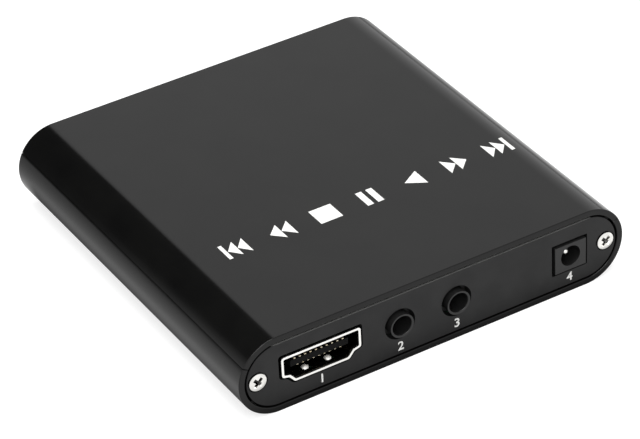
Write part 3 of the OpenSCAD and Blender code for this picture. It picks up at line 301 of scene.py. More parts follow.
def grain(material, place, size, stretch=(1, 1, 1), detail=3.0):
    """Noise with features of a given size in metres, drawn out along an axis by stretch."""
    nodes, links = tree_of(material)
    scaled = nodes.new("ShaderNodeMapping")
    scaled.inputs["Scale"].default_value = [1 / (size * s) for s in stretch]
    links.new(place, scaled.inputs["Vector"])
    noise = nodes.new("ShaderNodeTexNoise")
    noise.inputs["Scale"].default_value = 1.0
    noise.inputs["Detail"].default_value = detail
    links.new(scaled.outputs["Vector"], noise.inputs["Vector"])
    return noise.outputs["Fac"]


def raise_by(material, shader, height, depth):
    """Raises the surface by a pattern, depth metres at most, over what is there already."""
    nodes, links = tree_of(material)
    node = nodes.new("ShaderNodeBump")
    node.inputs["Distance"].default_value = depth
    links.new(height, node.inputs["Height"])
    if shader.inputs["Normal"].is_linked:
        links.new(shader.inputs["Normal"].links[0].from_socket, node.inputs["Normal"])
    links.new(node.outputs["Normal"], shader.inputs["Normal"])


# most of a noise lies between these two
noise_low, noise_high = 0.3, 0.7


def varied(material, noise, low, high):
    """A number that runs between two values by a noise."""
    nodes, links = tree_of(material)
    return between(nodes, links, noise, noise_low, noise_high, low, high)


def roughen(material, shader, noise, low, high):
    """Runs the roughness between two values by a noise."""
    nodes, links = tree_of(material)
    links.new(varied(material, noise, low, high), shader.inputs["Roughness"])


def tint(material, shader, pattern, low, high, start=noise_low, end=noise_high):
    """Runs the base colour between two colours by a pattern."""
    nodes, links = tree_of(material)
    ramp = nodes.new("ShaderNodeValToRGB")
    for element, position, colour in zip(ramp.color_ramp.elements, (start, end), (low, high)):
        element.position = position
        element.color = (*colour, 1)
    links.new(pattern, ramp.inputs["Fac"])
    links.new(ramp.outputs["Color"], shader.inputs["Base Color"])


def anodised_shell():
    """Satin black anodising on fine-blasted aluminium, with faint streaks along the extrusion."""
    material, shader, place = surface("anodised_shell", (0.0035, 0.0035, 0.0034), 0.12, ior=1.3)
    cloud = grain(material, place, 9 * mm)
    tint(material, shader, cloud, (0.003, 0.003, 0.003), (0.0045, 0.0045, 0.0043))
    streaks = grain(material, place, 0.5 * mm, stretch=(1, 60, 1))
    roughen(material, shader, streaks, 0.11, 0.14)
    raise_by(material, shader, grain(material, place, 0.12 * mm), 0.0008 * mm)
    return material


def laid_out(name, bm, material):
    """An object made of a bmesh, its faces turned outwards."""
    bmesh.ops.recalc_face_normals(bm, faces=bm.faces)
    piece = bpy.data.objects.new(name, mesh_of(name, bm))
    piece.data.materials.append(material)
    bpy.context.collection.objects.link(piece)
    return piece


def finish_piece(name, bm, material, node, body="player", smooth=30):
    """Turns a bmesh into a finished piece that rides on a body and stands for its CAD node."""
    piece = laid_out(name, bm, material)
    piece.data.shade_smooth()
    piece.data.set_sharp_from_angle(angle=radians(smooth))
    even = piece.modifiers.new("even shading", "WEIGHTED_NORMAL")
    even.keep_sharp = True
    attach(piece, body)
    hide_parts(node)
    return piece


def soften(bm, width, segments=2, least=40, where=None):
    """Rounds every edge that is sharper than an angle, or those of them that a test picks."""
    sharp = [
        edge
        for edge in bm.edges
        if len(edge.link_faces) == 2
        and edge.calc_face_angle(0) > radians(least)
        and (where is None or where(edge))
    ]
    bmesh.ops.bevel(
        bm,
        geom=sharp,
        offset=width,
        segments=segments,
        profile=0.5,
        affect="EDGES",
        material=-1,
        clamp_overlap=True,
    )


def points_of(result, key="geom"):
    """The vertices among what an operator returned."""
    return [part for part in result[key] if isinstance(part, bmesh.types.BMVert)]


def rounded_section(bm, radius, y, start, sweep, steps):
    """The housing's section at a radius: one side's arc, the flat and the other side's arc."""
    place = (round_x + radius * cos(start), y, mid_z + radius * sin(start))
    turned = [bm.verts.new(place)]
    for side in (1, -1):
        arc = bmesh.ops.spin(
            bm,
            geom=turned,
            cent=(side * round_x, y, mid_z),
            axis=(0, -1, 0),
            angle=sweep,
            steps=steps,
        )
        if side == 1:
            last = points_of(arc, "geom_last")
            turned = bmesh.ops.extrude_vert_indiv(bm, verts=last)["verts"]
            turned[0].co.x = -round_x


def drawn_out(bm, outline, start, end):
    """A closed bar: an outline of points in x and z, drawn out along y."""
    face = bm.faces.new([bm.verts.new((x, start, z)) for x, z in outline])
    drawn = bmesh.ops.extrude_face_region(bm, geom=[face])
    bmesh.ops.translate(bm, verts=points_of(drawn), vec=(0, end - start, 0))


def take_in(bm, form):
    """Adds a finished form to others."""
    mesh = mesh_of("part", form)
    bm.from_mesh(mesh)
    bpy.data.meshes.remove(mesh)


def rod(bm, x, z, radius, start, end, steps=64, tip_radius=None):
    """A closed rod or cone along y."""
    bmesh.ops.create_cone(
        bm,
        cap_ends=True,
        segments=steps,
        radius1=radius,
        radius2=radius if tip_radius is None else tip_radius,
        depth=end - start,
        matrix=Matrix.Translation((x, (start + end) / 2, z)) @ Matrix.Rotation(-pi / 2, 4, "X"),
    )


def cleaned(bm):
    """Merges doubled points and makes each flat side one face."""
    bmesh.ops.remove_doubles(bm, verts=bm.verts, dist=weld)
    bmesh.ops.dissolve_limit(bm, angle_limit=flat_side, verts=bm.verts[:], edges=bm.edges[:])
    return bm


def combined(bm, other, how):
    """Joins two closed forms into one, or takes the second out of the first."""
    parts = []
    for form in (bm, other):
        bmesh.ops.recalc_face_normals(form, faces=form.faces)
        parts.append(bpy.data.objects.new("part", mesh_of("part", form)))
        bpy.context.collection.objects.link(parts[-1])
    step = parts[0].modifiers.new("step", "BOOLEAN")
    step.operation = how
    step.solver = "EXACT"
    step.use_self = True
    step.object = parts[1]
    shaped = parts[0].evaluated_get(bpy.context.evaluated_depsgraph_get())
    done = bmesh.new()
    done.from_mesh(shaped.to_mesh())
    for part in parts:
        mesh = part.data
        bpy.data.objects.remove(part)
        bpy.data.meshes.remove(mesh)
    return cleaned(done)


def at_end(edge):
    """Whether an edge lies in one of the sawn ends, and doesn't run from one to the other."""
    first, second = (vertex.co.y for vertex in edge.verts)
    return abs(first - second) < mm and abs(first) > end_y - hair


def extruded_shell(start, sweep):
    """A length of shell: its section drawn out from end to end, given its wall and deburred."""
    bm = bmesh.new()
    rounded_section(bm, outer_r, -end_y, start, sweep, round_steps)
    drawn = bmesh.ops.extrude_edge_only(bm, edges=bm.edges)
    bmesh.ops.translate(bm, verts=points_of(drawn), vec=(0, 2 * end_y, 0))
    bmesh.ops.recalc_face_normals(bm, faces=bm.faces)
    bmesh.ops.solidify(bm, geom=bm.faces, thickness=wall)
    bmesh.ops.recalc_face_normals(bm, faces=bm.faces)
    soften(bm, deburr, segments=3, where=at_end)
    return bm


shell_finish = anodised_shell()
gap_angle = seam_gap / 2 / outer_r  # of half the seam's gap
trough = extruded_shell(seam_angle - gap_angle, gap_angle - seam_angle - pi / 2)
# the long edges along the seam are just broken
soften(trough, seam_edge, where=lambda edge: not at_end(edge))
groove_low, groove_high = board_low.z - groove_clear, board_high.z + groove_clear
rails = bmesh.new()
for side in (1, -1):
    for outline in (
        (
            (nose_x, floor_top),
            (groove_foot_x, floor_top),
            (groove_wall_x, groove_low),
            (nose_x, groove_low),
        ),
        (
            (nose_x, groove_high),
            (boss_low_x, groove_high),
            (boss_high_x, boss_top),
            (screw_x, boss_top),
            (screw_x - boss_web, mid_z + boss_web),
            (nose_x, mid_z),
        ),
        (
            (ledge_x, ledge_top - ledge_h),
            (ledge_low_x, ledge_top - ledge_h),
            (ledge_high_x, ledge_top - ledge_drop),
            (ledge_x, ledge_top - ledge_drop),
        ),
    ):
        drawn_out(rails, [(side * x, z) for x, z in outline], -plate_seat, plate_seat)
trough = combined(trough, rails, "UNION")
bores = bmesh.new()
for side in (1, -1):
    rod(bores, side * screw_x, mid_z, boss_r, -end_y, end_y, steps=32)
trough = combined(trough, bores, "DIFFERENCE")
finish_piece("lower_shell_extrusion", trough, shell_finish, "lower_shell")

# ---- Upper shell ----
# The same kind of extrusion turned over: the roof and the upper part of both sides. Hooked lips
# under the seam slide in beneath the lower shell's ledges.

lip_clear = 0.12 * mm
lip_x = ledge_x - lip_clear
lip_t = 1 * mm
lip_out_z, lip_in_z = 12.4 * mm, 12.7 * mm
hook_top = ledge_top - ledge_h - lip_clear
hook_reach = 0.48 * mm
roof = extruded_shell(seam_angle + gap_angle, pi / 2 - seam_angle - gap_angle)
hooks = bmesh.new()
for side in (1, -1):
    outline = (
        (lip_x - lip_t, hook_top - ledge_h),
        (lip_x + hook_reach, hook_top - ledge_h),
        (lip_x + hook_reach, hook_top),
        (lip_x, hook_top),
        (lip_x, lip_out_z),
        (lip_x - lip_t, lip_in_z),
    )
    drawn_out(hooks, [(side * x, z) for x, z in outline], -plate_seat, plate_seat)
roof = combined(roof, hooks, "UNION")
finish_piece("upper_shell_extrusion", roof, shell_finish, "upper_shell")

# ---- End plates ----
# Sheet aluminium, matt black, one in each end of the housing. Each has its sockets' holes punched,
# two countersinks for its screws and a light chamfer all round.

plate_gap = 0.35 * mm
plate_r = outer_r - wall - plate_gap
plate_edge = 0.1 * mm
socket_z = board_high.z
hole_clear = 0.4 * mm
video_x, av_x, yuv_x, dc_x = (21.85 * mm, 6.9 * mm, -4 * mm, -26.4 * mm)
usb_x, card_x, ir_x, led_x = (-21 * mm, 5 * mm, 28.2 * mm, -11.55 * mm)
video_drop, video_corner = 0.25 * mm, 0.5 * mm
video_side = ((5.28, 0), (6.3, 1.24), (7.8, 1.63), (7.8, 6.15))
jack_z = socket_z + 2.75 * mm
jack_hole_r = 2.85 * mm
dc_w, dc_h, dc_corner = 6.2 * mm, 5.2 * mm, 0.1 * mm
usb_w, usb_h, usb_corner = 13.1 * mm, 5.72 * mm, 0.6 * mm
card_w, card_h, card_corner = 24.3 * mm, 2.4 * mm, 0.1 * mm
card_z = socket_z + 0.6 * mm
ir_z, ir_r = socket_z + 4 * mm, 2.55 * mm
led_z, led_r = socket_z + 3.4 * mm, 1.57 * mm
screw_head_r = 1.575 * mm
head_gap = 0.25 * mm
screw_hole_r = 1.2 * mm
thread_r = 1.1 * mm
screw_sink = 0.3 * mm
screw_cone = 0.8 * mm
turned_steps = 48


def matt_plate():
    """Matt black anodising on blasted sheet, lightened along the top edge's chamfer as a painted
    highlight.
    """
    material, shader, place = surface("anodised_plate", (0.006, 0.006, 0.006), 0.34, ior=1.31)
    nodes, links = tree_of(material)
    top = mid_z + plate_r
    up = axes_of(nodes, links, place)["Z"]
    # painted highlight: the chamfer along the top edge is lightened
    wear_and_highlight = between(nodes, links, up, top - plate_edge, top - 0.5 * plate_edge)
    cloud = varied(material, grain(material, place, 5 * mm), 0.0, 0.05)
    tone = maths(nodes, links, "MAXIMUM", wear_and_highlight, cloud)
    tint(material, shader, tone, (0.005, 0.005, 0.0052), (0.1, 0.1, 0.098), 0.0, 1.0)
    roughen(material, shader, grain(material, place, 1.5 * mm), 0.3, 0.38)
    raise_by(material, shader, grain(material, place, 0.1 * mm), 0.0025 * mm)
    return material


def socket_hole(bm, outline, start, end, corner):
    """A bar with a hole's outline and round corners, to cut the hole with."""
    bar = bmesh.new()
    face = bar.faces.new([bar.verts.new((x, start, z)) for x, z in outline])
    bmesh.ops.bevel(
        bar,
        geom=list(face.verts),
        offset=corner,
        segments=4,
        profile=0.5,
        affect="VERTICES",
        material=-1,
    )
    drawn = bmesh.ops.extrude_face_region(bar, geom=bar.faces[:])
    bmesh.ops.translate(bar, verts=points_of(drawn), vec=(0, end - start, 0))
    take_in(bm, bar)


def plate_blank():
    """The plate's flat form and, apart, the cutters for its two countersinks."""
    blank = bmesh.new()
    rounded_section(blank, plate_r, plate_seat, -pi / 2, pi, turned_steps)
    face = blank.faces.new(blank.verts[:])
    drawn = bmesh.ops.extrude_face_region(blank, geom=[face])
    bmesh.ops.translate(blank, verts=points_of(drawn), vec=(0, plate_t, 0))
    cutters = bmesh.new()
    sunk = plate_face - screw_sink
    for x in (-screw_x, screw_x):
        about = (cutters, x, mid_z)
        rod(*about, screw_hole_r, plate_seat - mm, plate_face, turned_steps)
        rod(*about, thread_r, sunk - screw_cone, sunk, turned_steps, screw_head_r)
        rod(*about, screw_head_r + head_gap, sunk, plate_face + mm, turned_steps)
    return blank, cutters


def video_hole():
    """The hole round the digital video socket: wide at the top, stepped in to a narrow floor."""
    low = socket_z - video_drop
    right = [(x * mm, low + z * mm) for x, z in video_side]
    return [(video_x + x, z) for x, z in right] + [(video_x - x, z) for x, z in reversed(right)]


def box_hole(x, low, width, height):
    """A rectangular hole, its bottom at a height, with the gap round its socket added."""
    half = width / 2 + hole_clear
    low, high = low - hole_clear, low + height + hole_clear
    return [(x - half, low), (x + half, low), (x + half, high), (x - half, high)]


def at_face(edge):
    """Whether an edge lies in the plate's outer face."""
    return all(vertex.co.y > plate_face - hair for vertex in edge.verts)


plate_finish = matt_plate()
through = (plate_seat - mm, plate_face + mm)
blank, cutters = plate_blank()
socket_hole(cutters, video_hole(), *through, video_corner)
for x in (av_x, yuv_x):
    rod(cutters, x, jack_z, jack_hole_r, *through)
socket_hole(cutters, box_hole(dc_x, socket_z, dc_w, dc_h), *through, dc_corner)
blank = combined(blank, cutters, "DIFFERENCE")
soften(blank, plate_edge, where=at_face)
finish_piece("rear_plate_sheet", blank, plate_finish, "rear_plate")

blank, cutters = plate_blank()
socket_hole(cutters, box_hole(usb_x, socket_z, usb_w, usb_h), *through, usb_corner)
socket_hole(cutters, box_hole(card_x, card_z, card_w, card_h), *through, card_corner)
rod(cutters, ir_x, ir_z, ir_r, *through)
rod(cutters, led_x, led_z, led_r, *through, turned_steps)
blank = combined(blank, cutters, "DIFFERENCE")
soften(blank, plate_edge, where=at_face)
bmesh.ops.scale(blank, verts=blank.verts, vec=(1, -1, 1))
finish_piece("front_plate_sheet", blank, plate_finish, "front_plate")

# ---- Plate screws ----
# Self-tapping steel screws, bright nickel plated, with a raised countersunk head and a cross
# recess. They run through each plate into the bosses of the lower shell.

screw_length = 8 * mm
root_r = 0.92 * mm
thread_pitch = 0.5 * mm
thread_flank, thread_crest = 0.2 * mm, 0.32 * mm
neck = 0.3 * mm
point = 0.6 * mm
rim_h = 0.12 * mm
rim_edge = 0.03 * mm
dome_h = 0.1 * mm
cross_arm = 1.0 * mm
cross_half = 0.3 * mm
cross_depth = 0.7 * mm
cross_wide, cross_narrow = 1.6, 0.5
dome_shape = ((0.5, 0.8), (0.85, 0.35))
tip_r = 0.35 * thread_r
recess_r = 1.2 * mm
# how dark the painted shade in a screw's recess and counterbore is
recess_shade_tone = 0.08
fade = 0.05 * mm


def distance(nodes, links, across, along):
    """How far a point is off, from how far it is off along two axes."""
    squares = [maths(nodes, links, "MULTIPLY", part, part) for part in (across, along)]
    return maths(nodes, links, "SQRT", maths(nodes, links, "ADD", *squares))


def nickel(name, recess_shaded):
    """Bright nickel with fine turning marks; on a screw, painted shade darkens its recess and
    counterbore.
    """
    material, shader, place = surface(name, (0.72, 0.71, 0.68), 0.2, metallic=1.0)
    nodes, links = tree_of(material)
    tone = varied(material, grain(material, place, 1.2 * mm), 0.85, 1.0)
    if recess_shaded:
        # painted shade darkens all but the head's skin, its outer side behind the sunk rim, and the
        # shank
        axes = axes_of(nodes, links, place)
        out = maths(nodes, links, "ABSOLUTE", axes["Y"])
        skin = plate_face + 0.4 * fade
        painted_light = between(nodes, links, out, skin - 2 * fade, skin, recess_shade_tone, 1.0)
        across = maths(nodes, links, "ABSOLUTE", axes["X"])
        across = maths(nodes, links, "SUBTRACT", across, screw_x)
        up = maths(nodes, links, "SUBTRACT", axes["Z"], mid_z)
        off = distance(nodes, links, across, up)
        outside = between(nodes, links, off, recess_r - fade, recess_r + fade)
        sunk = plate_face - screw_sink
        behind = between(nodes, links, out, sunk - fade, sunk, 1.0, 0.0)
        cone = maths(nodes, links, "MULTIPLY", outside, behind)
        floor = plate_face - cross_depth
        shank = between(nodes, links, out, floor - 2 * fade, floor - fade, 1.0, 0.0)
        for part in (cone, shank):
            painted_light = maths(nodes, links, "MAXIMUM", painted_light, part)
        tone = maths(nodes, links, "MULTIPLY", painted_light, tone)
    tint(material, shader, tone, (0.0, 0.0, 0.0), (0.8, 0.79, 0.76), 0.0, 1.0)
    roughen(material, shader, grain(material, place, 0.5 * mm), 0.16, 0.3)
    raise_by(material, shader, grain(material, place, 0.25 * mm, (1, 1, 6)), 0.004 * mm)
    return material


def screw(bm, x):
    """One screw, its profile turned about its axis, with a cross recess sunk into the head."""
    turned = bmesh.new()
    top = plate_face + rim_h
    profile = [(0, top + dome_h)]
    profile += [(r * screw_head_r, top + h * dome_h) for r, h in dome_shape]
    profile += [(screw_head_r, top - rim_edge)]
    sunk = plate_face - screw_sink
    profile += [(screw_head_r, sunk), (thread_r, sunk - screw_cone)]
    depth = sunk - screw_cone - neck
    tip = plate_face - screw_length
    while depth - thread_pitch > tip + point:
        root, crest = depth - thread_flank, depth - thread_crest
        profile += [(root_r, depth), (root_r, root), (thread_r, crest)]
        depth -= thread_pitch
    profile += [(root_r, depth), (tip_r, tip), (0, tip)]
    corners = [turned.verts.new((x + r, y, mid_z)) for r, y in profile]
    edges = [turned.edges.new(pair) for pair in zip(corners, corners[1:])]
    bmesh.ops.spin(
        turned,
        geom=corners + edges,
        cent=(x, 0, mid_z),
        axis=(0, 1, 0),
        angle=2 * pi,
        steps=turned_steps,
        use_merge=True,
    )
    bmesh.ops.remove_doubles(turned, verts=turned.verts, dist=weld)
    recess = bmesh.new()
    arm, half = cross_arm, cross_half
    cross = ((arm, half), (half, half), (half, arm), (-half, arm), (-half, half), (-arm, half))
    cross += tuple((-a, -b) for a, b in cross)
    drawn_out(recess, cross, top - cross_depth, top + mm)
    for vertex in recess.verts:
        taper = cross_narrow if vertex.co.y < top - 0.5 * cross_depth else cross_wide
        vertex.co.x *= taper
        vertex.co.z *= taper
    about = Matrix.Translation((x, 0, mid_z)) @ Matrix.Rotation(pi / 4, 4, "Y")
    bmesh.ops.transform(recess, matrix=about, verts=recess.verts)
    take_in(bm, combined(turned, recess, "DIFFERENCE"))


# the screws carry painted shade in their recesses and counterbores
screw_finish = nickel("bright_nickel", recess_shaded=True)
for end, side in (("rear", 1), ("front", -1)):
    pair = bmesh.new()
    for x in (-screw_x, screw_x):
        screw(pair, x)
    bmesh.ops.scale(pair, verts=pair.verts, vec=(1, side, 1))
    name, node = f"{end}_plate_screw_pair", f"{end}_plate_screws"
    finish_piece(name, pair, screw_finish, node, smooth=35)

# ---- Main board ----
# Glass-fibre laminate with copper tracks under a green solder mask, drilled for every solder leg.
# It slides into the lower shell's grooves from one end.

track_step = 0.3 * mm
track_edge = (0.14 * mm, 0.17 * mm)


def copy_of(node):
    """A CAD node's form, merged, with each flat side made one face."""
    bm = bmesh.new()
    bm.from_mesh(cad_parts[node].data)
    return cleaned(bm)


def dressed(node, material, edge, segments=2, least=40, body="player"):
    """A CAD node's form with its edges rounded and its finish on."""
    bm = copy_of(node)
    if edge:
        soften(bm, edge, segments, least)
    return finish_piece(f"{node}_piece", bm, material, node, body)


def solder_mask():
    """Green mask over bundles of tracks, which show through a shade paler and raised."""
    material, shader, place = surface("solder_mask", (0.01, 0.09, 0.035), 0.28, ior=1.5)
    nodes, links = tree_of(material)
    axes = axes_of(nodes, links, place)
    # the bundles run along the board in some areas and across it in others, round bare ground
    lengthwise = between(nodes, links, grain(material, place, 9 * mm, detail=0), 0.49, 0.51)
    crosswise = maths(nodes, links, "SUBTRACT", 1.0, lengthwise)
    bundles = []
    for axis, area in (("X", lengthwise), ("Y", crosswise)):
        step = maths(nodes, links, "PINGPONG", axes[axis], track_step)
        track = between(nodes, links, step, *track_edge)
        bundles.append(maths(nodes, links, "MULTIPLY", track, area))
    routed = between(nodes, links, grain(material, place, 14 * mm, detail=0), 0.47, 0.48)
    tracks = maths(nodes, links, "MAXIMUM", *bundles)
    tracks = maths(nodes, links, "MULTIPLY", tracks, routed)
    tint(material, shader, tracks, (0.01, 0.085, 0.034), (0.02, 0.15, 0.06))
    raise_by(material, shader, tracks, 0.02 * mm)
    roughen(material, shader, grain(material, place, 3 * mm), 0.22, 0.34)
    return material


dressed("main_board", solder_mask(), 0.03 * mm, segments=1)

# ---- Insulating film ----
# Milky polyester sheet, cut to size and laid on the floor. It keeps the board's solder legs from
# the metal.


def milky_film():
    """Milky polyester film with a faint ripple."""
    material, shader, place = surface("polyester_film", (0.72, 0.68, 0.52), 0.3, ior=1.5)
    milk = grain(material, place, 12 * mm)
    tint(material, shader, milk, (0.66, 0.62, 0.46), (0.76, 0.72, 0.56))
    raise_by(material, shader, grain(material, place, 15 * mm, detail=1), 0.05 * mm)
    return material


dressed("insulating_film", milky_film(), 0.02 * mm, segments=1)

# ---- Digital video socket ----
# Folded from nickel-plated steel sheet, with two spring fingers in its floor and two in its roof.
# A black moulded block with a tongue carries nineteen gold-flashed contacts in two rows. All of it
# is soldered to the board.

video_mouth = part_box("video_socket_shell")[1].y
bump_x, bump_back, bump_r = (2.15 * mm, 1.9 * mm, 0.8 * mm)
lip_shade_from, lip_shade_to = 0.15 * mm, 0.6 * mm
behind_from, behind_to = plate_t + 0.2 * mm, plate_t + 0.6 * mm
skin_t = 0.02 * mm


def socket_sheet(name, kind, mouth, deep_shade_tone, bumps=()):
    """Plated sheet, darkened by painted shade deeper in and in the plate's hole, and bright at the
    socket's lip.
    """
    material, shader, place = surface(name, (0.86, 0.85, 0.82), 0.22, metallic=1.0)
    nodes, links = tree_of(material)
    axes = axes_of(nodes, links, place)
    back = maths(nodes, links, "SUBTRACT", mouth, axes["Y"])
    back = maths(nodes, links, "ABSOLUTE", back)
    # painted shade: the sheet darkens from its lip inwards
    painted_light = between(nodes, links, back, lip_shade_from, lip_shade_to, 1.0, deep_shade_tone)
    # behind the plate the painted shade is lifted from the sheet's outer side
    sheet_low, sheet_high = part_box(f"{kind}_shell")
    block_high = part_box(f"{kind}_insulator")[1]
    middle = (sheet_low.x + sheet_high.x) / 2
    off = maths(nodes, links, "SUBTRACT", axes["X"], middle)
    off = maths(nodes, links, "ABSOLUTE", off)
    outer = []
    for reach, inner, skin in (
        (off, block_high.x - middle, sheet_high.x - middle),
        (axes["Z"], block_high.z, sheet_high.z),
    ):
        outer.append(between(nodes, links, reach, (inner + skin) / 2, skin - skin_t))
    outer = maths(nodes, links, "MAXIMUM", *outer)
    behind = between(nodes, links, back, behind_from, behind_to)
    outer = maths(nodes, links, "MULTIPLY", outer, behind)
    painted_light = maths(nodes, links, "MAXIMUM", painted_light, outer)
    satin = varied(material, grain(material, place, 0.4 * mm, (6, 1, 1)), 0.18, 0.3)
    # the fingers' bumps get a painted highlight, which lifts them out of the painted shade, and are
    # scuffed rougher by the plug
    for x in bumps:
        across = maths(nodes, links, "SUBTRACT", axes["X"], x)
        along = maths(nodes, links, "SUBTRACT", back, bump_back)
        off = distance(nodes, links, across, along)
        bump_highlight = between(nodes, links, off, 0.7 * bump_r, bump_r, 1.0, 0.0)
        painted_light = maths(nodes, links, "MAXIMUM", painted_light, bump_highlight)
        scuffed = maths(nodes, links, "MULTIPLY", bump_highlight, 0.7)
        satin = maths(nodes, links, "MAXIMUM", satin, scuffed)
    wear_and_highlight = varied(material, grain(material, place, 0.8 * mm), 0.92, 1.0)
    tone = maths(nodes, links, "MULTIPLY", painted_light, wear_and_highlight)
    tint(material, shader, tone, (0.0, 0.0, 0.0), (0.88, 0.87, 0.84), 0.0, 1.0)
    links.new(satin, shader.inputs["Roughness"])
    return material


def gold_flash():
    """Thin matt gold over nickel, pale where it is thinnest."""
    material, shader, place = surface("gold_flash", (0.9, 0.8, 0.6), 0.45, metallic=1.0)
    thin = grain(material, place, 0.5 * mm)
    tint(material, shader, thin, (0.88, 0.74, 0.5), (0.94, 0.88, 0.72))
    roughen(material, shader, grain(material, place, 0.3 * mm), 0.4, 0.55)
    return material


def moulded_resin(name, colour, roughness=0.42, ior=1.4):
    """Moulded resin with the mould's fine texture and a slight unevenness of tone."""
    material, shader, place = surface(name, colour, roughness, ior=ior)
    dark = tuple(0.82 * part for part in colour)
    tint(material, shader, grain(material, place, 2.5 * mm), dark, colour)
    mottle = grain(material, place, 0.8 * mm)
    roughen(material, shader, mottle, roughness - 0.05, roughness + 0.06)
    raise_by(material, shader, grain(material, place, 0.09 * mm), 0.002 * mm)
    return material


black_resin = moulded_resin("black_resin", (0.008, 0.008, 0.008))
gold = gold_flash()
bumps = (video_x - bump_x, video_x + bump_x)
# its sheet carries deep painted shade, with painted highlights on the fingers' bumps
video_sheet = socket_sheet("video_socket_plating", "video_socket", video_mouth, 0.06, bumps)
dressed("video_socket_shell", video_sheet, 0.09 * mm, segments=3, least=50)
tongue_resin = moulded_resin("tongue_resin", (0.003, 0.003, 0.003), 0.5, 1.15)
dressed("video_socket_insulator", tongue_resin, 0.06 * mm)
dressed("video_socket_contacts", gold, 0.03 * mm, segments=1)

# ---- Round video jacks ----
# Two moulded 3.5 mm jacks soldered to the board, whose nozzles stand in holes of the rear plate.
# Springs of tinned bronze in pockets at the bore's sides touch the plug.


def tinned_bronze():
    """Tin plating, a little cloudy."""
    material, shader, place = surface("tinned_bronze", (0.72, 0.7, 0.66), 0.32, metallic=1.0)
    cloud = grain(material, place, 0.7 * mm)
    tint(material, shader, cloud, (0.62, 0.6, 0.55), (0.78, 0.77, 0.73))
    roughen(material, shader, grain(material, place, 0.3 * mm), 0.26, 0.42)
    return material


tin = tinned_bronze()
jack_resin = moulded_resin("jack_resin", (0.009, 0.009, 0.009), 0.36)
jack_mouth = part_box("av_jack_body")[1].y
bore_lip = 1.85 * mm
bore_lead = 0.18 * mm


def round_jack(kind, x):
    """One jack: its body's edges eased, the nozzle's lip rounded and its bore countersunk."""
    bm = copy_of(f"{kind}_jack_body")

    def at_bore(edge):
        return all(
            vertex.co.y > jack_mouth - hair
            and (vertex.co.xz - Vector((x, jack_z))).length < bore_lip
            for vertex in edge.verts
        )

    soften(bm, bore_lead, segments=3, where=at_bore)
    soften(bm, 0.08 * mm, least=50)
    finish_piece(f"{kind}_jack_body_piece", bm, jack_resin, f"{kind}_jack_body")


for kind, x in (("av", av_x), ("component", yuv_x)):
    round_jack(kind, x)
    dressed(f"{kind}_jack_contacts", tin, 0.03 * mm, segments=1)

# ---- Power jack ----
# A square moulded jack that stands a little out of the rear plate. A bright plated pin is riveted
# through its back, and a side spring touches the plug's sleeve.

pin_plating = nickel("pin_plating", recess_shaded=False)
dressed("power_jack_body", jack_resin, 0.08 * mm)
dressed("power_jack_pin", pin_plating, 0.05 * mm, least=50)
dressed("power_jack_contacts", tin, 0.03 * mm, segments=1)

# ---- Type A socket ----
# Folded from plated sheet with four spring tabs, and soldered to the board. The tongue of its
# white moulded block carries four contacts.

usb_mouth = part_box("usb_socket_shell")[0].y
# the type A socket's painted shade is lighter
usb_sheet = socket_sheet("type_a_socket_plating", "usb_socket", usb_mouth, 0.45)
white_resin = moulded_resin("white_resin", (0.74, 0.74, 0.71), 0.4)
dressed("usb_socket_shell", usb_sheet, 0.07 * mm, least=50)
dressed("usb_socket_insulator", white_resin, 0.08 * mm)
dressed("usb_socket_contacts", gold, 0.03 * mm, segments=1)

# ---- Memory card socket ----
# A black moulded tray under a folded steel cover, soldered to the board. Nine gold-flashed springs
# in the tray touch the card.


def rolled_steel(name, colour, stretch):
    """Bright rolled steel or drawn wire, with the grain of its making."""
    material, shader, place = surface(name, colour, 0.26, metallic=1.0)
    dull = tuple(0.92 * part for part in colour)
    tint(material, shader, grain(material, place, 0.12 * mm, stretch), dull, colour)
    roughen(material, shader, grain(material, place, 0.1 * mm, stretch), 0.25, 0.32)
    return material


cover_steel = rolled_steel("cover_steel", (0.7, 0.7, 0.69), (1, 30, 1))
dressed("card_socket_base", black_resin, 0.05 * mm, segments=1)
dressed("card_socket_cover", cover_steel, 0.06 * mm)
dressed("card_socket_contacts", gold, 0.03 * mm, segments=1)

# ---- Card ejector ----
# A white moulded slider in the tray's side bay, with a heart-shaped track in its top. A bent wire
# latch pin runs in the track, and a coil spring brings the slider back.

slider_resin = moulded_resin("slider_resin", (0.78, 0.78, 0.72), 0.34)
spring_wire = rolled_steel("spring_wire", (0.58, 0.58, 0.6), (1, 1, 1))
dressed("card_slider", slider_resin, 0.05 * mm, body="card_slider")
dressed("card_latch_pin", spring_wire, 0.04 * mm, least=50, body="latch_pin")

# the coil shortens as the slider goes in: its inner end stays and its outer end follows
coil = dressed("card_ejector_spring", spring_wire, edge=0)
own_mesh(coil)

# ---- Infrared receiver ----
# A block of dark resin with a round lens on its front, cast round its legs and soldered to the
# board behind the window.

receiver_resin = moulded_resin("receiver_resin", (0.012, 0.006, 0.01), 0.2)
dressed("ir_receiver", receiver_resin, 0.08 * mm, least=50)

# ---- Infrared window ----
# A round window of dark red acrylic with a flange at its back, pushed into the front plate's hole
# from inside.

ruby, deep_ruby = (0.05, 0.004, 0.008), (0.03, 0.002, 0.005)


def tinted_clear(name, colour, roughness, deep_colour):
    """Clear tinted resin, a little deeper in tone here and there."""
    material, shader, place = surface(name, colour, roughness, ior=1.49)
    shader.inputs["Transmission Weight"].default_value = 0.55
    tint(material, shader, grain(material, place, 3 * mm), deep_colour, colour)
    raise_by(material, shader, grain(material, place, 4 * mm, detail=1), 0.01 * mm)
    return material


window_acrylic = tinted_clear("smoked_acrylic", ruby, 0.06, deep_ruby)
dressed("ir_window", window_acrylic, 0.15 * mm, segments=3)

# ---- Power lamp ----
# A 3 mm lamp of clear blue epoxy, cast round its two wires, which are soldered to the board. Its
# dome stands in a hole of the front plate.

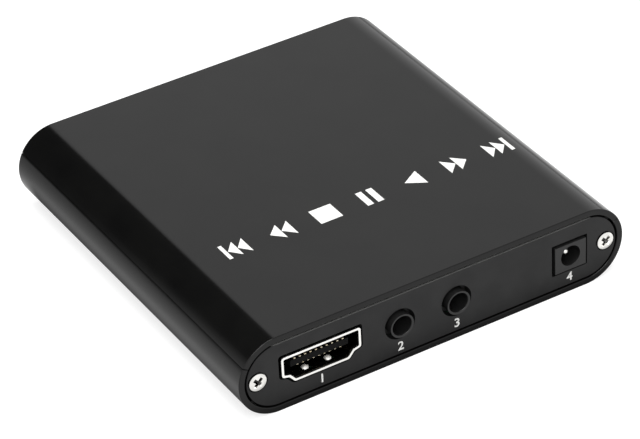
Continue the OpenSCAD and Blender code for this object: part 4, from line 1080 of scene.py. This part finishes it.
lamp_epoxy = tinted_clear("lamp_epoxy", (0.25, 0.45, 0.9), 0.12, (0.16, 0.32, 0.8))
dressed("power_lamp", lamp_epoxy, 0.08 * mm, least=50)

# ---- Processor ----
# A flat square package of black moulding compound, soldered to the middle of the board. The heat
# sink covers it.


def chip_epoxy():
    """Black moulding compound with the fine matt of its mould."""
    material, shader, place = surface("chip_epoxy", (0.02, 0.02, 0.021), 0.5, ior=1.5)
    cloud = grain(material, place, 1.5 * mm)
    tint(material, shader, cloud, (0.016, 0.016, 0.017), (0.026, 0.026, 0.027))
    raise_by(material, shader, grain(material, place, 0.08 * mm), 0.003 * mm)
    return material


epoxy = chip_epoxy()
dressed("media_processor", epoxy, 0.1 * mm)

# ---- Thermal pad ----
# A square cut from soft blue silicone sheet. It sticks the heat sink to the processor and leads the
# heat across.


def soft_gap_pad():
    """Soft silicone pad with a slightly open, chalky skin."""
    material, shader, place = surface("gap_pad", (0.3, 0.48, 0.6), 0.75)
    chalk = grain(material, place, 1.0 * mm)
    tint(material, shader, chalk, (0.26, 0.42, 0.54), (0.36, 0.54, 0.66))
    raise_by(material, shader, grain(material, place, 0.3 * mm), 0.02 * mm)
    return material


dressed("thermal_pad", soft_gap_pad(), 0.12 * mm)

# ---- Heat sink ----
# Extruded aluminium with six upright fins, sawn to length and left bare. It stands on the thermal
# pad, which holds it.


def bare_aluminium(name, stretch):
    """Plain aluminium with the lines that its saw or draw die left."""
    material, shader, place = surface(name, (0.72, 0.73, 0.75), 0.34, metallic=1.0)
    lines = grain(material, place, 0.2 * mm, stretch)
    tint(material, shader, lines, (0.62, 0.63, 0.65), (0.76, 0.77, 0.79))
    roughen(material, shader, grain(material, place, 0.3 * mm, stretch), 0.28, 0.42)
    raise_by(material, shader, grain(material, place, 0.15 * mm, stretch), 0.003 * mm)
    return material


sawn = bare_aluminium("sawn_aluminium", (1, 40, 1))
dressed("heat_sink", sawn, 0.06 * mm)

# ---- Chips ----
# Two memory chips, the flash memory and the voltage regulator, moulded in black compound and
# soldered to the board. The last two have bent tinned leads.

dressed("memory_chips", epoxy, 0.08 * mm)
dressed("flash_chip", epoxy, 0.04 * mm, segments=1)
dressed("voltage_regulator", epoxy, 0.04 * mm, segments=1)

# ---- Power inductors ----
# Ferrite drums, each with a square foot and a round flange that keep its winding in. They are
# soldered to the board by their feet.


def fired(name, colour):
    """Fired ferrite or ceramic, fine-grained and dull."""
    material, shader, place = surface(name, colour, 0.55)
    light = tuple(1.25 * part for part in colour)
    tint(material, shader, grain(material, place, 0.4 * mm), colour, light)
    raise_by(material, shader, grain(material, place, 0.06 * mm), 0.003 * mm)
    return material


dressed("power_inductors", fired("ferrite", (0.05, 0.05, 0.053)), 0.1 * mm)

# ---- Electrolytic capacitors ----
# Drawn aluminium cans, crimped over their foil rolls. Each stands on a square foot that is
# soldered to the board.

drawn_can = bare_aluminium("drawn_aluminium", (1, 1, 20))
dressed("electrolytic_capacitors", drawn_can, 0.2 * mm, segments=3)

# ---- Crystal ----
# A quartz crystal in a pressed steel can with round ends, whose rim is welded to its base plate.
# It lies flat on the board.

can_steel = rolled_steel("can_steel", (0.72, 0.71, 0.68), (1, 1, 12))
dressed("crystal", can_steel, 0.15 * mm, segments=3)

# ---- Ceramic capacitors ----
# Small blocks of fired brown ceramic, soldered flat to the board in rows beside the processor.
# They steady its supply.

ceramic = fired("ceramic", (0.4, 0.29, 0.18))
dressed("ceramic_capacitors", ceramic, 0.06 * mm)

# ---- Printed marks ----
# White ink, screen printed: a plain figure under each rear socket, and a row of plain playback
# marks on the roof. The ink stands two hundredths of a millimetre thick.

ink_t = 0.02 * mm
figure_h = 1.7 * mm
type_size = 1.4 * figure_h
figure_bold = 0.04 * mm
figure_z = 2.2 * mm
mark_h = 4.2 * mm
mark_step = 8.6 * mm
mark_y = 11.2 * mm
marks_middle = 3.6


def white_ink():
    """White printing ink, very slightly uneven, with a matt skin."""
    material, shader, place = surface("white_ink", (0.8, 0.8, 0.78), 0.55)
    cover = grain(material, place, 0.6 * mm)
    tint(material, shader, cover, (0.72, 0.72, 0.7), (0.84, 0.84, 0.82))
    raise_by(material, shader, grain(material, place, 0.1 * mm), 0.002 * mm)
    return material


def figure(text, x):
    """A printed figure as a mesh, standing on the rear plate below a socket."""
    curve = bpy.data.curves.new("figure", "FONT")
    curve.body = text
    curve.size = type_size
    curve.align_x = "CENTER"
    curve.extrude = ink_t / 2
    curve.offset = figure_bold
    typed = bpy.data.objects.new("figure", curve)
    bpy.context.collection.objects.link(typed)
    shaped = typed.evaluated_get(bpy.context.evaluated_depsgraph_get())
    bm = bmesh.new()
    bm.from_mesh(shaped.to_mesh())
    bpy.data.objects.remove(typed)
    bmesh.ops.remove_doubles(bm, verts=bm.verts, dist=weld)
    across, up, out = (-1, 0, 0), (0, 0, 1), (0, 1, 0)
    stand = Matrix((across, up, out)).transposed().to_4x4()
    place = Matrix.Translation((x, plate_face, figure_z)) @ stand
    bmesh.ops.transform(bm, matrix=place, verts=bm.verts)
    return bm


def mark(bm, corners, x):
    """A printed mark on the roof, from its corners in fractions of the marks' height."""
    face = bm.faces.new(
        [bm.verts.new((x + a * mark_h, mark_y + b * mark_h, shell_top)) for a, b in corners]
    )
    drawn = bmesh.ops.extrude_face_region(bm, geom=[face])
    bmesh.ops.translate(bm, verts=points_of(drawn), vec=(0, 0, ink_t))


def ink_piece(name, bm):
    """Printed ink rides on the player and takes no slot, because no CAD node is ink."""
    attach(laid_out(name, bm, ink), "player")


ink = white_ink()
shell_top = 2 * outer_r - ink_t / 2
for text, x in (("1", video_x), ("2", av_x), ("3", yuv_x), ("4", dc_x)):
    ink_piece(f"rear_figure_{text}", figure(text, x))


def bar(start, width):
    """Corners of an upright bar."""
    return ((start, 0), (start + width, 0), (start + width, 1), (start, 1))


def arrow(start, end):
    """Corners of an arrowhead that points from start to end."""
    return ((start, 0), (end, 0.5), (start, 1))


marks = (
    ("skip_back", (bar(0.0, 0.16), arrow(0.62, 0.2), arrow(1.06, 0.64))),
    ("rewind", (arrow(0.5, 0.0), arrow(1.0, 0.52))),
    ("play", (arrow(0.1, 0.9),)),
    ("pause", (bar(0.12, 0.28), bar(0.6, 0.28))),
    ("stop", (bar(0.0, 1.0),)),
    ("forward", (arrow(0.0, 0.48), arrow(0.5, 1.0))),
    ("skip_on", (arrow(0.0, 0.42), arrow(0.44, 0.86), bar(0.9, 0.16))),
)
for count, (name, shapes) in enumerate(marks):
    printed = bmesh.new()
    for corners in shapes:
        mark(printed, corners, (count - marks_middle) * mark_step)
    ink_piece(f"roof_mark_{name}", printed)
